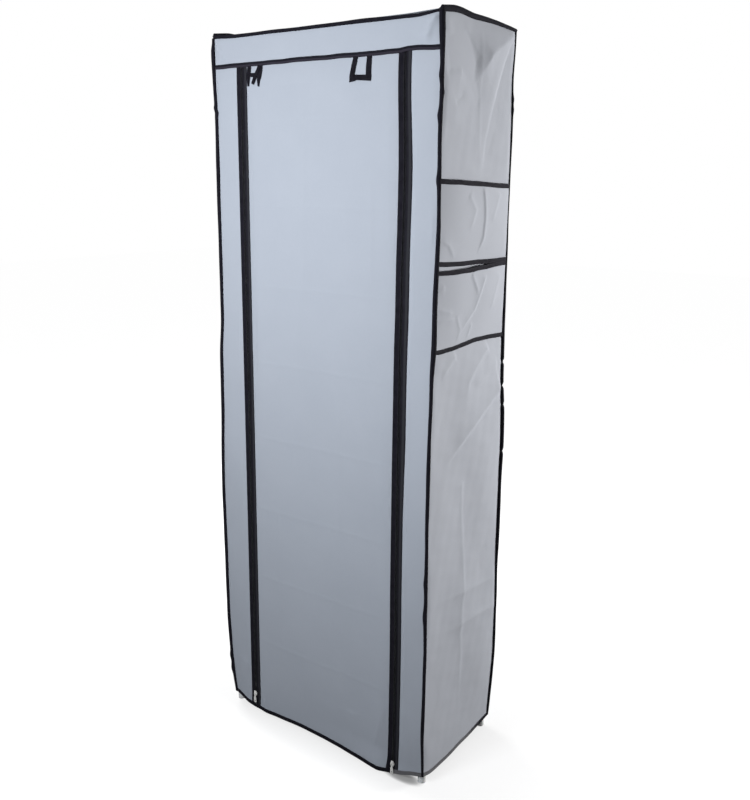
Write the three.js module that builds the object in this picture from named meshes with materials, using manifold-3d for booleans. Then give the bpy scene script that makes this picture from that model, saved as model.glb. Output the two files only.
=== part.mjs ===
// A portable fabric wardrobe: a zip-up cloth cover over a rack of ten cloth shelves.
// Millimetres, +Z up, front towards -Y. The origin is on the floor, under the middle of the rack.
import * as THREE from 'three';
import { mergeVertices } from 'three/addons/utils/BufferGeometryUtils.js';
import Module from 'manifold-3d';

const wasm = await Module();
wasm.setup();

// Overall size, measured over the piping
const width = 580;
const depth = 290;
const height = 1600;

// Rack: two ladders of thin steel tube, held apart by moulded end brackets
const levelCount = 10;
const firstLevel = 26;
const topRailDrop = 15;
const tubeDiameter = 13;
const tubeWall = 0.6;
const postInset = 13;
const runningGap = 0.3;

// Moulded end brackets
const barrelDiameter = 18;
const barrelHeight = 22;
const socketReach = 22;
const capRise = 8;
const capWall = 3;
const barThickness = 7;
const barHeight = 15;
const barFlange = 2.2;
const barWeb = 2.4;

// Shelf cloths
const shelfWall = 1;
const shelfInset = 3;

// Cover
const clothThickness = 0.7;
const seamGap = 0.3;
const pipingDiameter = 6;
const bindingThickness = 2;
const hemHeight = 8;
const cornerHem = 21.5;
const sideHemLow = 7.5;
const frontHemLeft = 5;
const frontHemMiddle = 8;
const frontHemRight = 2.5;
const frontFlare = 7;
const valanceDrop = 60;
const valanceBindingHeight = 8.5;

// Zips
const zipInset = 80;
const tapeWidth = 12.4;
const coilGap = 0.6;
const coilWidth = 2.4;
const coilHeight = 1.8;

// Sliders and their pulls
const sliderLength = 12.5;
const sliderPlate = 1;
const sliderFlange = 1.2;
const sliderWeb = 0.6;
const sliderRestLeft = 46;
const sliderRestRight = 27;
const sliderNotch = 5;
const sliderNotchMargin = 2.5;
const sliderShoulder = 2.5;
const sliderHeadroom = 31.5;
const archWidth = 1.8;
const archLegs = 1.2;
const archWindow = 4.4;
const archRise = 2;
const pullLength = 25;
const pullWidth = 7.6;
const pullThickness = 1;
const pullEyeLength = 5;
const pullEyeWidth = 3;
const pullHole = 3;
const pullNeck = 3.6;

// Door: its cloth turns on three fold lines, at the top, below the loops and at the shelf below
const foldGap = 0.45;
const coilClearance = 2.7;
const liftBelowBinding = 4.5;
const doorUpperLength = 80;
const doorMiddleLength = 310;

// Hold-up loops under the valance, their middles set in from the zips
const loopTape = 11;
const loopThickness = 0.8;
const loopDrop = 43;
const loopStandOff = 2.1;
const rightLoopInset = 95;
const leftLoopInset = 44;
const loopTopWidth = 36;
const loopFlare = 14;
const loopSeam = 2.75;

// Side pockets: the front and back ends of each edge lie this far below the top
const pocketBinding = 8;
const pocketBulge = 9;
const upperMouthDrops = [303, 308];
const upperBaseDrops = [449, 468];
const lowerMouthDrops = [466, 472];
const lowerBaseDrops = [626, 629];

// Folds of the cloth, standing out of its plane
const sideFoldHeight = 5;
const sideFoldWidth = 26;
const flatMargin = 36;
const seamShare = 0.1;
const clothWave = 1.6;
const waveLength = 150;
const overrun = 1;

// Places that follow from the sizes above
const postX = width / 2 - postInset;
const postY = depth / 2 - postInset;
const tubeRadius = tubeDiameter / 2;
const barrelRadius = barrelDiameter / 2;
const topLevel = height - topRailDrop;
const levelPitch = (topLevel - firstLevel) / (levelCount - 1);
const pipingRadius = pipingDiameter / 2;
const panelX = width / 2 - pipingRadius;
const panelY = depth / 2 - pipingRadius;
const panelTop = height - pipingRadius;
const edgeInset = pipingRadius + seamGap;
const halfCloth = clothThickness / 2;
const zipOffset = width / 2 - zipInset;
const bindingBottom = height - valanceDrop - valanceBindingHeight;
const bindingTop = bindingBottom + valanceBindingHeight;
const frontTop = bindingBottom - seamGap;
const leanAngle = Math.atan2(frontFlare, frontTop);
const tapeOuter = zipOffset + coilGap + tapeWidth;
const doorHalf = zipOffset - coilGap - tapeWidth - seamGap;
const liftZ = bindingBottom - liftBelowBinding;
const foldTopZ = liftZ - doorUpperLength;
const foldBackZ = foldTopZ - doorMiddleLength;
const sliderTop = bindingBottom - sliderHeadroom;
const levels = Array.from({ length: levelCount }, (_, level) => firstLevel + level * levelPitch);
const sides = [['left', -1], ['right', 1]];

// Front and back ends of the pockets' mouths and bases
const belowTop = (drops) => drops.map((drop) => height - drop);
const upperMouth = belowTop(upperMouthDrops);
const upperBase = belowTop(upperBaseDrops);
const lowerMouth = belowTop(lowerMouthDrops);
const lowerBase = belowTop(lowerBaseDrops);

// Smoothness of round things
const tubeSides = 12;
const mouldSides = 8;
const pipingSides = 8;
const weldTolerance = 1e-4;
const boreRadius = (tubeRadius + runningGap) / Math.cos(Math.PI / mouldSides);

const finish = (color, roughness, metalness = 0) =>
  new THREE.MeshStandardMaterial({ color, roughness, metalness });
const greyCloth = finish(0xb4bcc8, 0.9);
const shelfCloth = finish(0xa6adb8, 0.92);
const blackTape = finish(0x26252e, 0.85);
const blackZip = finish(0x1c1b22, 0.6);
const paleTube = finish(0xc9ccd0, 0.35, 0.7);
const whitePlastic = finish(0xe6e6e4, 0.5);
const sliderMetal = finish(0xb9bcc0, 0.3, 0.95);

// Solids
function toSolid(geometry) {
  const bare = geometry.clone();
  for (const name of Object.keys(bare.attributes)) {
    if (name !== 'position') bare.deleteAttribute(name);
  }
  const merged = mergeVertices(bare, weldTolerance);
  return new wasm.Manifold(new wasm.Mesh({
    numProp: 3,
    vertProperties: new Float32Array(merged.attributes.position.array),
    triVerts: new Uint32Array(merged.index.array),
  }));
}

function toGeometry(solid) {
  const mesh = solid.getMesh();
  const geometry = new THREE.BufferGeometry();
  geometry.setAttribute('position', new THREE.BufferAttribute(mesh.vertProperties, mesh.numProp));
  geometry.setIndex(new THREE.BufferAttribute(mesh.triVerts, 1));
  geometry.computeVertexNormals();
  return geometry;
}

const join = (...solids) => solids.reduce((whole, solid) => whole.add(solid));
const cut = (solid, ...tools) => tools.reduce((left, tool) => left.subtract(tool), solid);

function block([x0, x1], [y0, y1], [z0, z1]) {
  const box = new THREE.BoxGeometry(x1 - x0, y1 - y0, z1 - z0);
  return box.translate((x0 + x1) / 2, (y0 + y1) / 2, (z0 + z1) / 2);
}

const blockSolid = (x, y, z) => toSolid(block(x, y, z));

// A post along Z, or a rail along X, between two ends
function upright(radius, x, y, z0, z1, sides = tubeSides) {
  const rod = new THREE.CylinderGeometry(radius, radius, z1 - z0, sides);
  return toSolid(rod.rotateX(Math.PI / 2).translate(x, y, (z0 + z1) / 2));
}

function crosswise(radius, y, z, x0, x1, sides = tubeSides) {
  const rod = new THREE.CylinderGeometry(radius, radius, x1 - x0, sides);
  return toSolid(rod.rotateZ(Math.PI / 2).translate((x0 + x1) / 2, y, z));
}

// A rod from front to back
function lengthwise(radius, x, z, y0, y1, sides = tubeSides) {
  const rod = new THREE.CylinderGeometry(radius, radius, y1 - y0, sides);
  return toSolid(rod.translate(x, (y0 + y1) / 2, z));
}

// A closed sheet of cloth: place(u, v) gives its middle surface, and facing its thickness direction
function clothSheet({ place, facing, thickness = clothThickness, columns, rows }) {
  const offset = facing.clone().multiplyScalar(thickness / 2);
  const stride = columns + 1;
  const layer = stride * (rows + 1);
  const points = [];
  for (const side of [1, -1]) {
    for (let row = 0; row <= rows; row += 1) {
      for (let column = 0; column <= columns; column += 1) {
        const point = place(column / columns, row / rows).addScaledVector(offset, side);
        points.push(point.x, point.y, point.z);
      }
    }
  }
  const faces = [];
  const quad = (a, b, c, d) => faces.push(a, b, c, a, c, d);
  for (let row = 0; row < rows; row += 1) {
    for (let column = 0; column < columns; column += 1) {
      const a = row * stride + column;
      quad(a, a + 1, a + stride + 1, a + stride);
      quad(layer + a, layer + a + stride, layer + a + stride + 1, layer + a + 1);
    }
  }
  for (let column = 0; column < columns; column += 1) {
    const far = rows * stride + column;
    quad(column, layer + column, layer + column + 1, column + 1);
    quad(far, far + 1, layer + far + 1, layer + far);
  }
  for (let row = 0; row < rows; row += 1) {
    const near = row * stride;
    const far = near + columns;
    quad(near, near + stride, layer + near + stride, layer + near);
    quad(far, layer + far, layer + far + stride, far + stride);
  }
  const geometry = new THREE.BufferGeometry();
  geometry.setAttribute('position', new THREE.Float32BufferAttribute(points, 3));
  const outward = (a, b, c) => new THREE.Vector3().subVectors(b, a).cross(c.clone().sub(a));
  const corner = (index) => new THREE.Vector3().fromArray(points, index * 3);
  if (outward(corner(0), corner(1), corner(stride + 1)).dot(facing) < 0) faces.reverse();
  geometry.setIndex(faces);
  geometry.computeVertexNormals();
  return geometry;
}

// Shapes of folds and hems
const between = (from, to, share) => from + (to - from) * share;
const ease = (share) => share * share * (3 - 2 * share);
const fade = (share) => ease(Math.min(1, Math.min(share, 1 - share) / seamShare));

function foldAcross(u, v, [fromU, fromV], [toU, toV], wide, spanU, spanV) {
  const runU = (toU - fromU) * spanU;
  const runV = (toV - fromV) * spanV;
  const run = Math.hypot(runU, runV);
  const atU = (u - fromU) * spanU;
  const atV = (v - fromV) * spanV;
  const along = THREE.MathUtils.clamp((atU * runU + atV * runV) / run ** 2, 0, 1);
  const away = Math.hypot(atU - along * runU, atV - along * runV);
  return Math.exp(-((away / wide) ** 2)) * (1 - along ** 2 / 2);
}

// Height of the hem's lower edge along the front and along the sides
function frontHem(x) {
  const share = Math.abs(x) / zipOffset;
  const atZip = x < 0 ? frontHemLeft : frontHemRight;
  if (share <= 1) return between(frontHemMiddle, atZip, ease(share));
  return between(atZip, cornerHem, (Math.abs(x) - zipOffset) / (panelX - zipOffset));
}

function sideHem(y) {
  return between(sideHemLow, cornerHem, (y / panelY) ** 2);
}

// The front cloth leans out a little towards the floor, from nothing at the corners to most at the zips
const leanAt = (z) => -(frontTop - z) * Math.sin(leanAngle);
const leanShare = (x) => ease(Math.min(1, (panelX - Math.abs(x)) / (panelX - tapeOuter)));

const assembly = new THREE.Group();
const front = new THREE.Group();
front.position.set(0, -panelY, frontTop);
front.rotation.x = -leanAngle;
assembly.add(front);

function addPiece(name, geometry, material, parent = assembly) {
  const mesh = new THREE.Mesh(geometry, material);
  mesh.name = name;
  parent.add(mesh);
  return mesh;
}

// Pieces of the leaning front are drawn upright and moved into the leaning group's own frame
function addFront(name, geometry, material) {
  geometry.translate(0, panelY, -frontTop);
  return addPiece(name, geometry, material, front);
}

const twoDigits = (number) => String(number).padStart(2, '0');

// Ladders: two posts and ten rails of thin tube each
function ladder(y) {
  const foot = capWall + runningGap;
  const head = topLevel + capRise - capWall;
  const inner = tubeRadius - tubeWall;
  const posts = (radius, extra) => [-postX, postX].map(
    (x) => upright(radius, x, y, foot - extra, head + extra),
  );
  const rails = (radius) => levels.map((z) => crosswise(radius, y, z, -postX, postX));
  const outside = join(...posts(tubeRadius, 0), ...rails(tubeRadius));
  return cut(outside, join(...posts(inner, overrun), ...rails(inner)));
}

addPiece('front_ladder', toGeometry(ladder(-postY)), paleTube);
addPiece('back_ladder', toGeometry(ladder(postY)), paleTube);

// End brackets: two barrels for the posts, two sockets for the rails and a flanged bar between them
function endBracket(side, level) {
  const z = levels[level];
  const x = side * postX;
  const lowest = level === 0;
  const highest = level === levelCount - 1;
  const bottom = lowest ? 0 : z - barrelHeight / 2;
  const top = highest ? z + capRise : z + barrelHeight / 2;
  const boreBottom = lowest ? capWall : bottom - overrun;
  const boreTop = highest ? top - capWall + runningGap : top + overrun;
  const inward = [x, x - side * socketReach].sort((a, b) => a - b);
  const deeper = [x, x - side * (socketReach + overrun)].sort((a, b) => a - b);
  const barBottom = z - barHeight / 2;
  const barTop = highest ? top : z + barHeight / 2;
  const recess = (barThickness - barWeb) / 2;
  const parts = [blockSolid([x - barThickness / 2, x + barThickness / 2], [-postY, postY], [barBottom, barTop])];
  const tools = [];
  for (const face of [-1, 1]) {
    const from = x + (face * barThickness) / 2;
    const sides = [from - face * recess, from + face * overrun].sort((a, b) => a - b);
    const reach = postY - barrelRadius - barFlange;
    tools.push(blockSolid(sides, [-reach, reach], [barBottom + barFlange, barTop - barFlange]));
  }
  for (const y of [-postY, postY]) {
    parts.push(upright(barrelRadius, x, y, bottom, top, mouldSides));
    parts.push(crosswise(barrelRadius, y, z, ...inward, mouldSides));
    tools.push(upright(boreRadius, x, y, boreBottom, boreTop, mouldSides));
    tools.push(crosswise(boreRadius, y, z, ...deeper, mouldSides));
  }
  const whole = cut(join(...parts), ...tools);
  return highest ? whole.trimByPlane([0, 0, -1], -top) : whole;
}

for (const [name, side] of sides) {
  levels.forEach((_, level) => {
    addPiece(`bracket_${name}_${twoDigits(level + 1)}`, toGeometry(endBracket(side, level)), whitePlastic);
  });
}

// Shelves: a cloth with a sleeve along each long edge, drawn over the rails
function shelf(z) {
  const half = postX - socketReach - shelfInset;
  const sleeve = boreRadius + shelfWall;
  const web = blockSolid([-half, half], [-postY, postY], [z - shelfWall / 2, z + shelfWall / 2]);
  const rods = (radius, reach) => [-postY, postY].map(
    (y) => crosswise(radius, y, z, -reach, reach, mouldSides),
  );
  return cut(join(web, ...rods(sleeve, half)), ...rods(boreRadius, half + overrun));
}

levels.forEach((z, level) => {
  addPiece(`shelf_${twoDigits(level + 1)}`, toGeometry(shelf(z)), shelfCloth);
});

// Back, left and top panels, with a slack wave in the cloth between the seams
const panelHem = (hem) => hem + hemHeight + seamGap;
const slackWave = (along, phase) => clothWave * Math.sin((2 * Math.PI * along) / waveLength + phase);

addPiece('back_panel', clothSheet({
  columns: 10,
  rows: 5,
  facing: new THREE.Vector3(0, 1, 0),
  place(u, v) {
    const x = between(-panelX + edgeInset, panelX - edgeInset, u);
    const z = between(panelHem(cornerHem), panelTop - edgeInset, v);
    return new THREE.Vector3(x, panelY + Math.abs(slackWave(x, v)) * fade(u) * fade(v), z);
  },
}), greyCloth);

addPiece('left_panel', clothSheet({
  columns: 6,
  rows: 9,
  facing: new THREE.Vector3(1, 0, 0),
  place(u, v) {
    const y = between(-panelY + edgeInset, panelY - edgeInset, u);
    const z = between(panelHem(sideHem(y)), panelTop - edgeInset, v);
    return new THREE.Vector3(-panelX - Math.abs(slackWave(y, 3 * v)) * fade(u) * fade(v), y, z);
  },
}), greyCloth);

addPiece('top_panel', clothSheet({
  columns: 6,
  rows: 3,
  facing: new THREE.Vector3(0, 0, 1),
  place(u, v) {
    const x = between(-panelX + edgeInset, panelX - edgeInset, u);
    const y = between(-panelY + edgeInset, panelY - edgeInset, v);
    return new THREE.Vector3(x, y, panelTop);
  },
}), greyCloth);

// Right panel: creases fan down from the upper back corner and across the lower half.
// Each fold runs between two places, given as shares of the panel's depth and height.
const rightFoldShares = [
  { from: [0.97, 0.99], to: [0.56, 0.82] },
  { from: [0.97, 0.99], to: [0.45, 0.93] },
  { from: [0.43, 0.925], to: [0.53, 0.885] },
  { from: [0.97, 0.532], to: [0.15, 0.45] },
  { from: [0.57, 0.58], to: [0.47, 0.53] },
  { from: [0.97, 0.303], to: [0.06, 0.3] },
  { from: [0.5, 0.4], to: [0.5, 0.06] },
];
const pocketFlat = (z) => {
  const mouth = Math.max(...upperMouth);
  const base = Math.min(...lowerBase);
  const above = THREE.MathUtils.smoothstep(z, mouth + flatMargin, mouth + 2 * flatMargin);
  const below = THREE.MathUtils.smoothstep(z, base - 2 * flatMargin, base - flatMargin);
  return above + 1 - below;
};

addPiece('right_panel', clothSheet({
  columns: 11,
  rows: 40,
  facing: new THREE.Vector3(1, 0, 0),
  place(u, v) {
    const y = between(-panelY + edgeInset, panelY - edgeInset, u);
    const z = between(panelHem(sideHem(y)), panelTop - edgeInset, v);
    const folds = rightFoldShares.reduce((total, { from, to }) => total
      + foldAcross(u, v, from, to, sideFoldWidth, 2 * panelY, panelTop), 0);
    const lift = sideFoldHeight * Math.min(1, folds) * fade(u) * fade(v) * pocketFlat(z);
    return new THREE.Vector3(panelX + lift, y, z);
  },
}), greyCloth);

// Piping along every edge, joined to the binding of the hem
function hemBand(place, facing, columns) {
  return toSolid(clothSheet({
    columns,
    rows: 1,
    thickness: bindingThickness,
    facing,
    place,
  }));
}

function edgeBinding() {
  const parts = [];
  const drop = cornerHem + hemHeight / 2;
  for (const y of [-panelY, panelY]) {
    parts.push(crosswise(pipingRadius, y, panelTop, -panelX, panelX, pipingSides));
    for (const x of [-panelX, panelX]) {
      parts.push(upright(pipingRadius, x, y, drop, panelTop, pipingSides));
      parts.push(toSolid(new THREE.IcosahedronGeometry(pipingRadius).translate(x, y, panelTop)));
    }
  }
  for (const x of [-panelX, panelX]) {
    parts.push(lengthwise(pipingRadius, x, panelTop, -panelY, panelY, pipingSides));
    parts.push(hemBand((u, v) => {
      const y = between(-panelY, panelY, u);
      return new THREE.Vector3(x, y, sideHem(y) + v * hemHeight);
    }, new THREE.Vector3(1, 0, 0), 12));
  }
  for (const side of [-1, 1]) {
    parts.push(hemBand((u, v) => {
      const x = side * between(zipOffset + coilGap, panelX, u);
      const z = frontHem(x) + v * hemHeight;
      return new THREE.Vector3(x, -panelY + leanAt(z) * leanShare(x), z);
    }, new THREE.Vector3(0, 1, 0), 6));
  }
  parts.push(hemBand((u, v) => {
    const x = between(-panelX, panelX, u);
    return new THREE.Vector3(x, panelY, cornerHem + v * hemHeight);
  }, new THREE.Vector3(0, 1, 0), 1));
  return join(...parts);
}

addPiece('edge_binding', toGeometry(edgeBinding()), blackTape);

// Valance over the top of the door, with its bound lower edge
addPiece('valance', clothSheet({
  columns: 12,
  rows: 2,
  facing: new THREE.Vector3(0, 1, 0),
  place(u, v) {
    const x = between(-panelX + edgeInset, panelX - edgeInset, u);
    const z = between(bindingTop + seamGap, panelTop - edgeInset, v);
    return new THREE.Vector3(x, -panelY - Math.abs(slackWave(x, 0)) * fade(v) * fade(u), z);
  },
}), greyCloth);

addPiece('valance_binding', block(
  [-panelX + edgeInset, panelX - edgeInset],
  [-panelY - bindingThickness / 2, -panelY + bindingThickness / 2],
  [bindingBottom, bindingTop],
), blackTape);

// Strips of cloth between the corners and the zips
for (const [name, side] of sides) {
  addPiece(`front_strip_${name}`, clothSheet({
    columns: 3,
    rows: 14,
    facing: new THREE.Vector3(0, 1, 0),
    place(u, v) {
      const x = side * between(tapeOuter + seamGap, panelX - edgeInset, u);
      const z = between(panelHem(frontHem(x)), frontTop, v);
      const wave = Math.abs(slackWave(z, side)) * fade(u) * fade(v);
      return new THREE.Vector3(x, -panelY + leanAt(z) * leanShare(x) - wave / 2, z);
    },
  }), greyCloth);
}

// Side pockets: each is a cloth that stands off the right panel at its mouth
const pocketX = panelX + clothThickness + seamGap;
const pocketEdge = panelY - edgeInset;
const mouthRise = (u, v) => pocketBulge * (1 - (2 * u - 1) ** 4) * (1 - (1 - v) ** 2);

function pocketCloth([mouthFront, mouthBack], [baseFront, baseBack]) {
  return clothSheet({
    columns: 8,
    rows: 5,
    facing: new THREE.Vector3(1, 0, 0),
    place(u, v) {
      const bottom = between(baseFront, baseBack, u) + seamGap;
      const top = between(mouthFront, mouthBack, u) - pocketBinding - seamGap;
      const y = between(-pocketEdge, pocketEdge, u);
      return new THREE.Vector3(pocketX + mouthRise(u, v), y, between(bottom, top, v));
    },
  });
}

function pocketBand([frontZ, backZ], rise) {
  return clothSheet({
    columns: 10,
    rows: 1,
    thickness: bindingThickness,
    facing: new THREE.Vector3(1, 0, 0),
    place(u, v) {
      const z = between(frontZ, backZ, u) - pocketBinding * (1 - v);
      const stand = (bindingThickness - clothThickness) / 2;
      const y = between(-pocketEdge, pocketEdge, u);
      return new THREE.Vector3(pocketX + stand + rise * mouthRise(u, 1), y, z);
    },
  });
}

addPiece('pocket_upper', pocketCloth(upperMouth, upperBase), greyCloth);
addPiece('pocket_lower', pocketCloth(lowerMouth, lowerBase), greyCloth);
addPiece('pocket_binding_top', pocketBand(upperMouth, 1), blackTape);
addPiece('pocket_binding_middle', toGeometry(join(
  toSolid(pocketBand(upperBase, 0)),
  toSolid(pocketBand(lowerMouth, 1)),
)), blackTape);
addPiece('pocket_binding_bottom', pocketBand(lowerBase, 0), blackTape);

// Zips: each half is a tape with half the coil along its inner edge.
// side is -1 or 1 for the left or right zip, and toward is -1 for the door's half and 1 for the outer one.
function tapeSpan(side, toward, near, far) {
  const centre = side * zipOffset;
  return [centre + side * toward * near, centre + side * toward * far].sort((a, b) => a - b);
}

const clothY = [-panelY - halfCloth, -panelY + halfCloth];
const coilY = [-panelY - halfCloth - coilHeight, -panelY];

function zipHalf(side, toward, z0, z1, coilFrom = z0, coilTo = z1, near = coilGap) {
  const tape = blockSolid(tapeSpan(side, toward, near, coilGap + tapeWidth), clothY, [z0, z1]);
  const beside = blockSolid(tapeSpan(side, toward, coilGap, coilGap + tapeWidth), clothY, [coilFrom, coilTo]);
  const coil = blockSolid(tapeSpan(side, toward, coilGap, coilGap + coilWidth), coilY, [coilFrom, coilTo]);
  return join(tape, beside, coil);
}

for (const [name, side] of sides) {
  const hem = Math.max(frontHem(side * zipOffset), frontHem(side * tapeOuter));
  const bottom = hem + hemHeight + seamGap;
  addFront(`zip_tape_${name}`, toGeometry(zipHalf(side, 1, bottom, frontTop)), blackZip);
}

// Door: three lengths of cloth between fold lines, with the door's half of both zips
const notchHalf = sliderLength / 2 + sliderNotchMargin;
const sliderRests = { left: sliderRestLeft, right: sliderRestRight };

function doorLength(z0, z1, coilTo) {
  const whole = blockSolid([-doorHalf - overrun, doorHalf + overrun], clothY, [z0, z1]);
  const coilFrom = z0 + coilClearance - foldGap;
  const tapes = sides.map(([, side]) => join(
    blockSolid(tapeSpan(side, -1, coilGap, coilGap + tapeWidth), clothY, [z0, coilTo]),
    zipHalf(side, -1, z0, z1, coilFrom, coilTo, sliderNotch),
  ));
  return join(whole, ...tapes);
}

addFront('door_upper', toGeometry(doorLength(
  foldTopZ + foldGap,
  frontTop,
  sliderTop - notchHalf,
)), greyCloth);
const middleTop = foldTopZ - foldGap;
const middleCoilTop = foldTopZ - coilClearance;
addFront('door_middle', toGeometry(join(
  blockSolid([-zipOffset + coilGap, zipOffset - coilGap], clothY, [foldBackZ + foldGap, middleTop]),
  ...sides.map(([, side]) => zipHalf(side, -1, foldBackZ + coilClearance, middleCoilTop)),
)), greyCloth);

addFront('door_lower', clothSheet({
  columns: 8,
  rows: 18,
  facing: new THREE.Vector3(0, 1, 0),
  place(u, v) {
    const x = between(-doorHalf, doorHalf, u);
    const z = between(panelHem(frontHem(x)), foldBackZ - foldGap, v);
    const wave = Math.abs(slackWave(x, v)) * fade(u) * fade(v);
    return new THREE.Vector3(x, -panelY - wave / 2, z);
  },
}), greyCloth);

for (const [name, side] of sides) {
  const edge = zipOffset - coilGap - tapeWidth;
  const bottom = Math.max(frontHem(side * edge), frontHem(side * zipOffset)) + hemHeight + seamGap;
  const coilBottom = sliderRests[name] + notchHalf;
  const upperEnd = foldBackZ - foldGap;
  addFront(`door_tape_${name}`, toGeometry(join(
    blockSolid(tapeSpan(side, -1, coilGap, coilGap + tapeWidth), clothY, [coilBottom, upperEnd]),
    zipHalf(side, -1, bottom, upperEnd, coilBottom, foldBackZ - coilClearance, sliderNotch),
  )), blackZip);
}

addFront('door_hem', clothSheet({
  columns: 16,
  rows: 1,
  thickness: bindingThickness,
  facing: new THREE.Vector3(0, 1, 0),
  place(u, v) {
    const x = between(-zipOffset + sliderNotch, zipOffset - sliderNotch, u);
    return new THREE.Vector3(x, -panelY, frontHem(x) + v * hemHeight);
  },
}), blackTape);

// Sliders: a front and a back plate round the coil, joined by the wedge between its halves,
// with a flange at each side and an arch that carries the pull
const channelHalf = coilGap + coilWidth + runningGap;
const sliderHalf = channelHalf + sliderFlange;
const backPlateY = -panelY + halfCloth + runningGap;
const frontPlateY = -panelY - halfCloth - coilHeight - runningGap;
const archFace = frontPlateY - sliderPlate;
const pivotY = archFace - archRise / 2;

function sliderBody(centreX, centreZ) {
  const outline = new THREE.Shape();
  const top = sliderLength / 2;
  outline.moveTo(-sliderHalf, -top + sliderShoulder);
  outline.quadraticCurveTo(-sliderHalf, -top, -sliderHalf + sliderShoulder, -top);
  outline.lineTo(sliderHalf - sliderShoulder, -top);
  outline.quadraticCurveTo(sliderHalf, -top, sliderHalf, -top + sliderShoulder);
  outline.lineTo(sliderHalf - sliderFlange / 2, top);
  outline.lineTo(-sliderHalf + sliderFlange / 2, top);
  outline.closePath();
  const plate = (y) => {
    const slab = new THREE.ExtrudeGeometry(outline, {
      depth: sliderPlate, bevelEnabled: false, curveSegments: 2,
    });
    return toSolid(slab.rotateX(Math.PI / 2).translate(centreX, y, centreZ));
  };
  const spanX = (from, to) => [centreX + from, centreX + to];
  const spanZ = (from, to) => [centreZ + from, centreZ + to];
  const flangeTop = -panelY - halfCloth - runningGap;
  const flange = (from, to) => blockSolid(
    spanX(from, to),
    [frontPlateY - sliderPlate / 2, flangeTop],
    spanZ(-top + sliderShoulder, top - sliderShoulder),
  );
  const archOuter = archWindow / 2 + archLegs;
  const arch = cut(
    blockSolid(
      spanX(-archWidth / 2, archWidth / 2),
      [archFace - archRise - archLegs, archFace + sliderPlate / 2],
      spanZ(-archOuter, archOuter),
    ),
    blockSolid(
      spanX(-archWidth, archWidth),
      [archFace - archRise, archFace],
      spanZ(-archWindow / 2, archWindow / 2),
    ),
  );
  return join(
    plate(frontPlateY),
    plate(backPlateY + sliderPlate),
    flange(-sliderHalf, -channelHalf),
    flange(channelHalf, sliderHalf),
    blockSolid(
      spanX(-sliderWeb / 2, sliderWeb / 2),
      [frontPlateY - sliderPlate / 2, backPlateY + sliderPlate / 2],
      spanZ(-top + sliderShoulder, top - sliderShoulder),
    ),
    arch,
  );
}

// Pulls: a tab with an eye round the arch, its crossbar through the arch and a hole near its end
function pullTab(centreX, centreZ) {
  const half = pullWidth / 2;
  const bar = pullThickness / 2;
  const end = -pullLength;
  const outline = new THREE.Shape();
  outline.moveTo(-pullEyeWidth, bar);
  outline.lineTo(-pullEyeWidth, -pullEyeLength);
  outline.lineTo(-pullNeck / 2, -pullEyeLength - pullThickness - bar);
  outline.absarc(0, end + half, half, Math.PI, 2 * Math.PI, false);
  outline.lineTo(pullNeck / 2, -pullEyeLength - pullThickness - bar);
  outline.lineTo(pullEyeWidth, -pullEyeLength);
  outline.lineTo(pullEyeWidth, bar);
  outline.closePath();
  const tab = new THREE.ExtrudeGeometry(outline, {
    depth: pullThickness, bevelEnabled: false, curveSegments: 8,
  });
  tab.rotateX(Math.PI / 2).translate(centreX, pivotY + bar, centreZ);
  const through = [pivotY - pullThickness, pivotY + pullThickness];
  const eye = blockSolid(
    [centreX - pullEyeWidth / 2, centreX + pullEyeWidth / 2],
    through,
    [centreZ - pullEyeLength, centreZ - bar],
  );
  const hole = lengthwise(pullHole / 2, centreX, centreZ + end + half, ...through);
  return toGeometry(cut(toSolid(tab), eye, hole));
}

for (const [name, side] of sides) {
  const rest = sliderRests[name];
  addFront(`slider_${name}`, toGeometry(sliderBody(side * zipOffset, rest)), sliderMetal);
  addFront(`pull_${name}`, pullTab(side * zipOffset, rest), sliderMetal);
}

// Hold-up loops: a tape folded into a frame that hangs from the valance's binding
function holdUpLoop(centre, flare) {
  const top = frontTop;
  const bottom = top - loopDrop;
  const half = loopTopWidth / 2;
  const outline = new THREE.Shape();
  outline.moveTo(centre - half, top);
  outline.lineTo(centre - half - flare, bottom);
  outline.lineTo(centre + half, bottom);
  outline.lineTo(centre + half, top);
  outline.closePath();
  const window = new THREE.Path();
  window.moveTo(centre - half + loopTape, top - loopSeam);
  window.lineTo(centre + half - loopTape, top - loopSeam);
  window.lineTo(centre + half - loopTape, bottom + loopTape);
  window.lineTo(centre - half - flare + loopTape, bottom + loopTape);
  window.closePath();
  outline.holes.push(window);
  const tape = new THREE.ExtrudeGeometry(outline, {
    depth: loopThickness, bevelEnabled: false,
  });
  return tape.rotateX(Math.PI / 2).translate(0, -panelY - loopStandOff + loopThickness / 2, 0);
}

addFront('loop_left', holdUpLoop(leftLoopInset - zipOffset, 0), blackTape);
addFront('loop_right', holdUpLoop(zipOffset - rightLoopInset, loopFlare), blackTape);

export default assembly;
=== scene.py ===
# A portable fabric wardrobe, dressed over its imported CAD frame. Sizes in the dictionaries are in mm.
import math
import bpy
import bmesh
import numpy as np
from mathutils import Matrix, Vector


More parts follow.
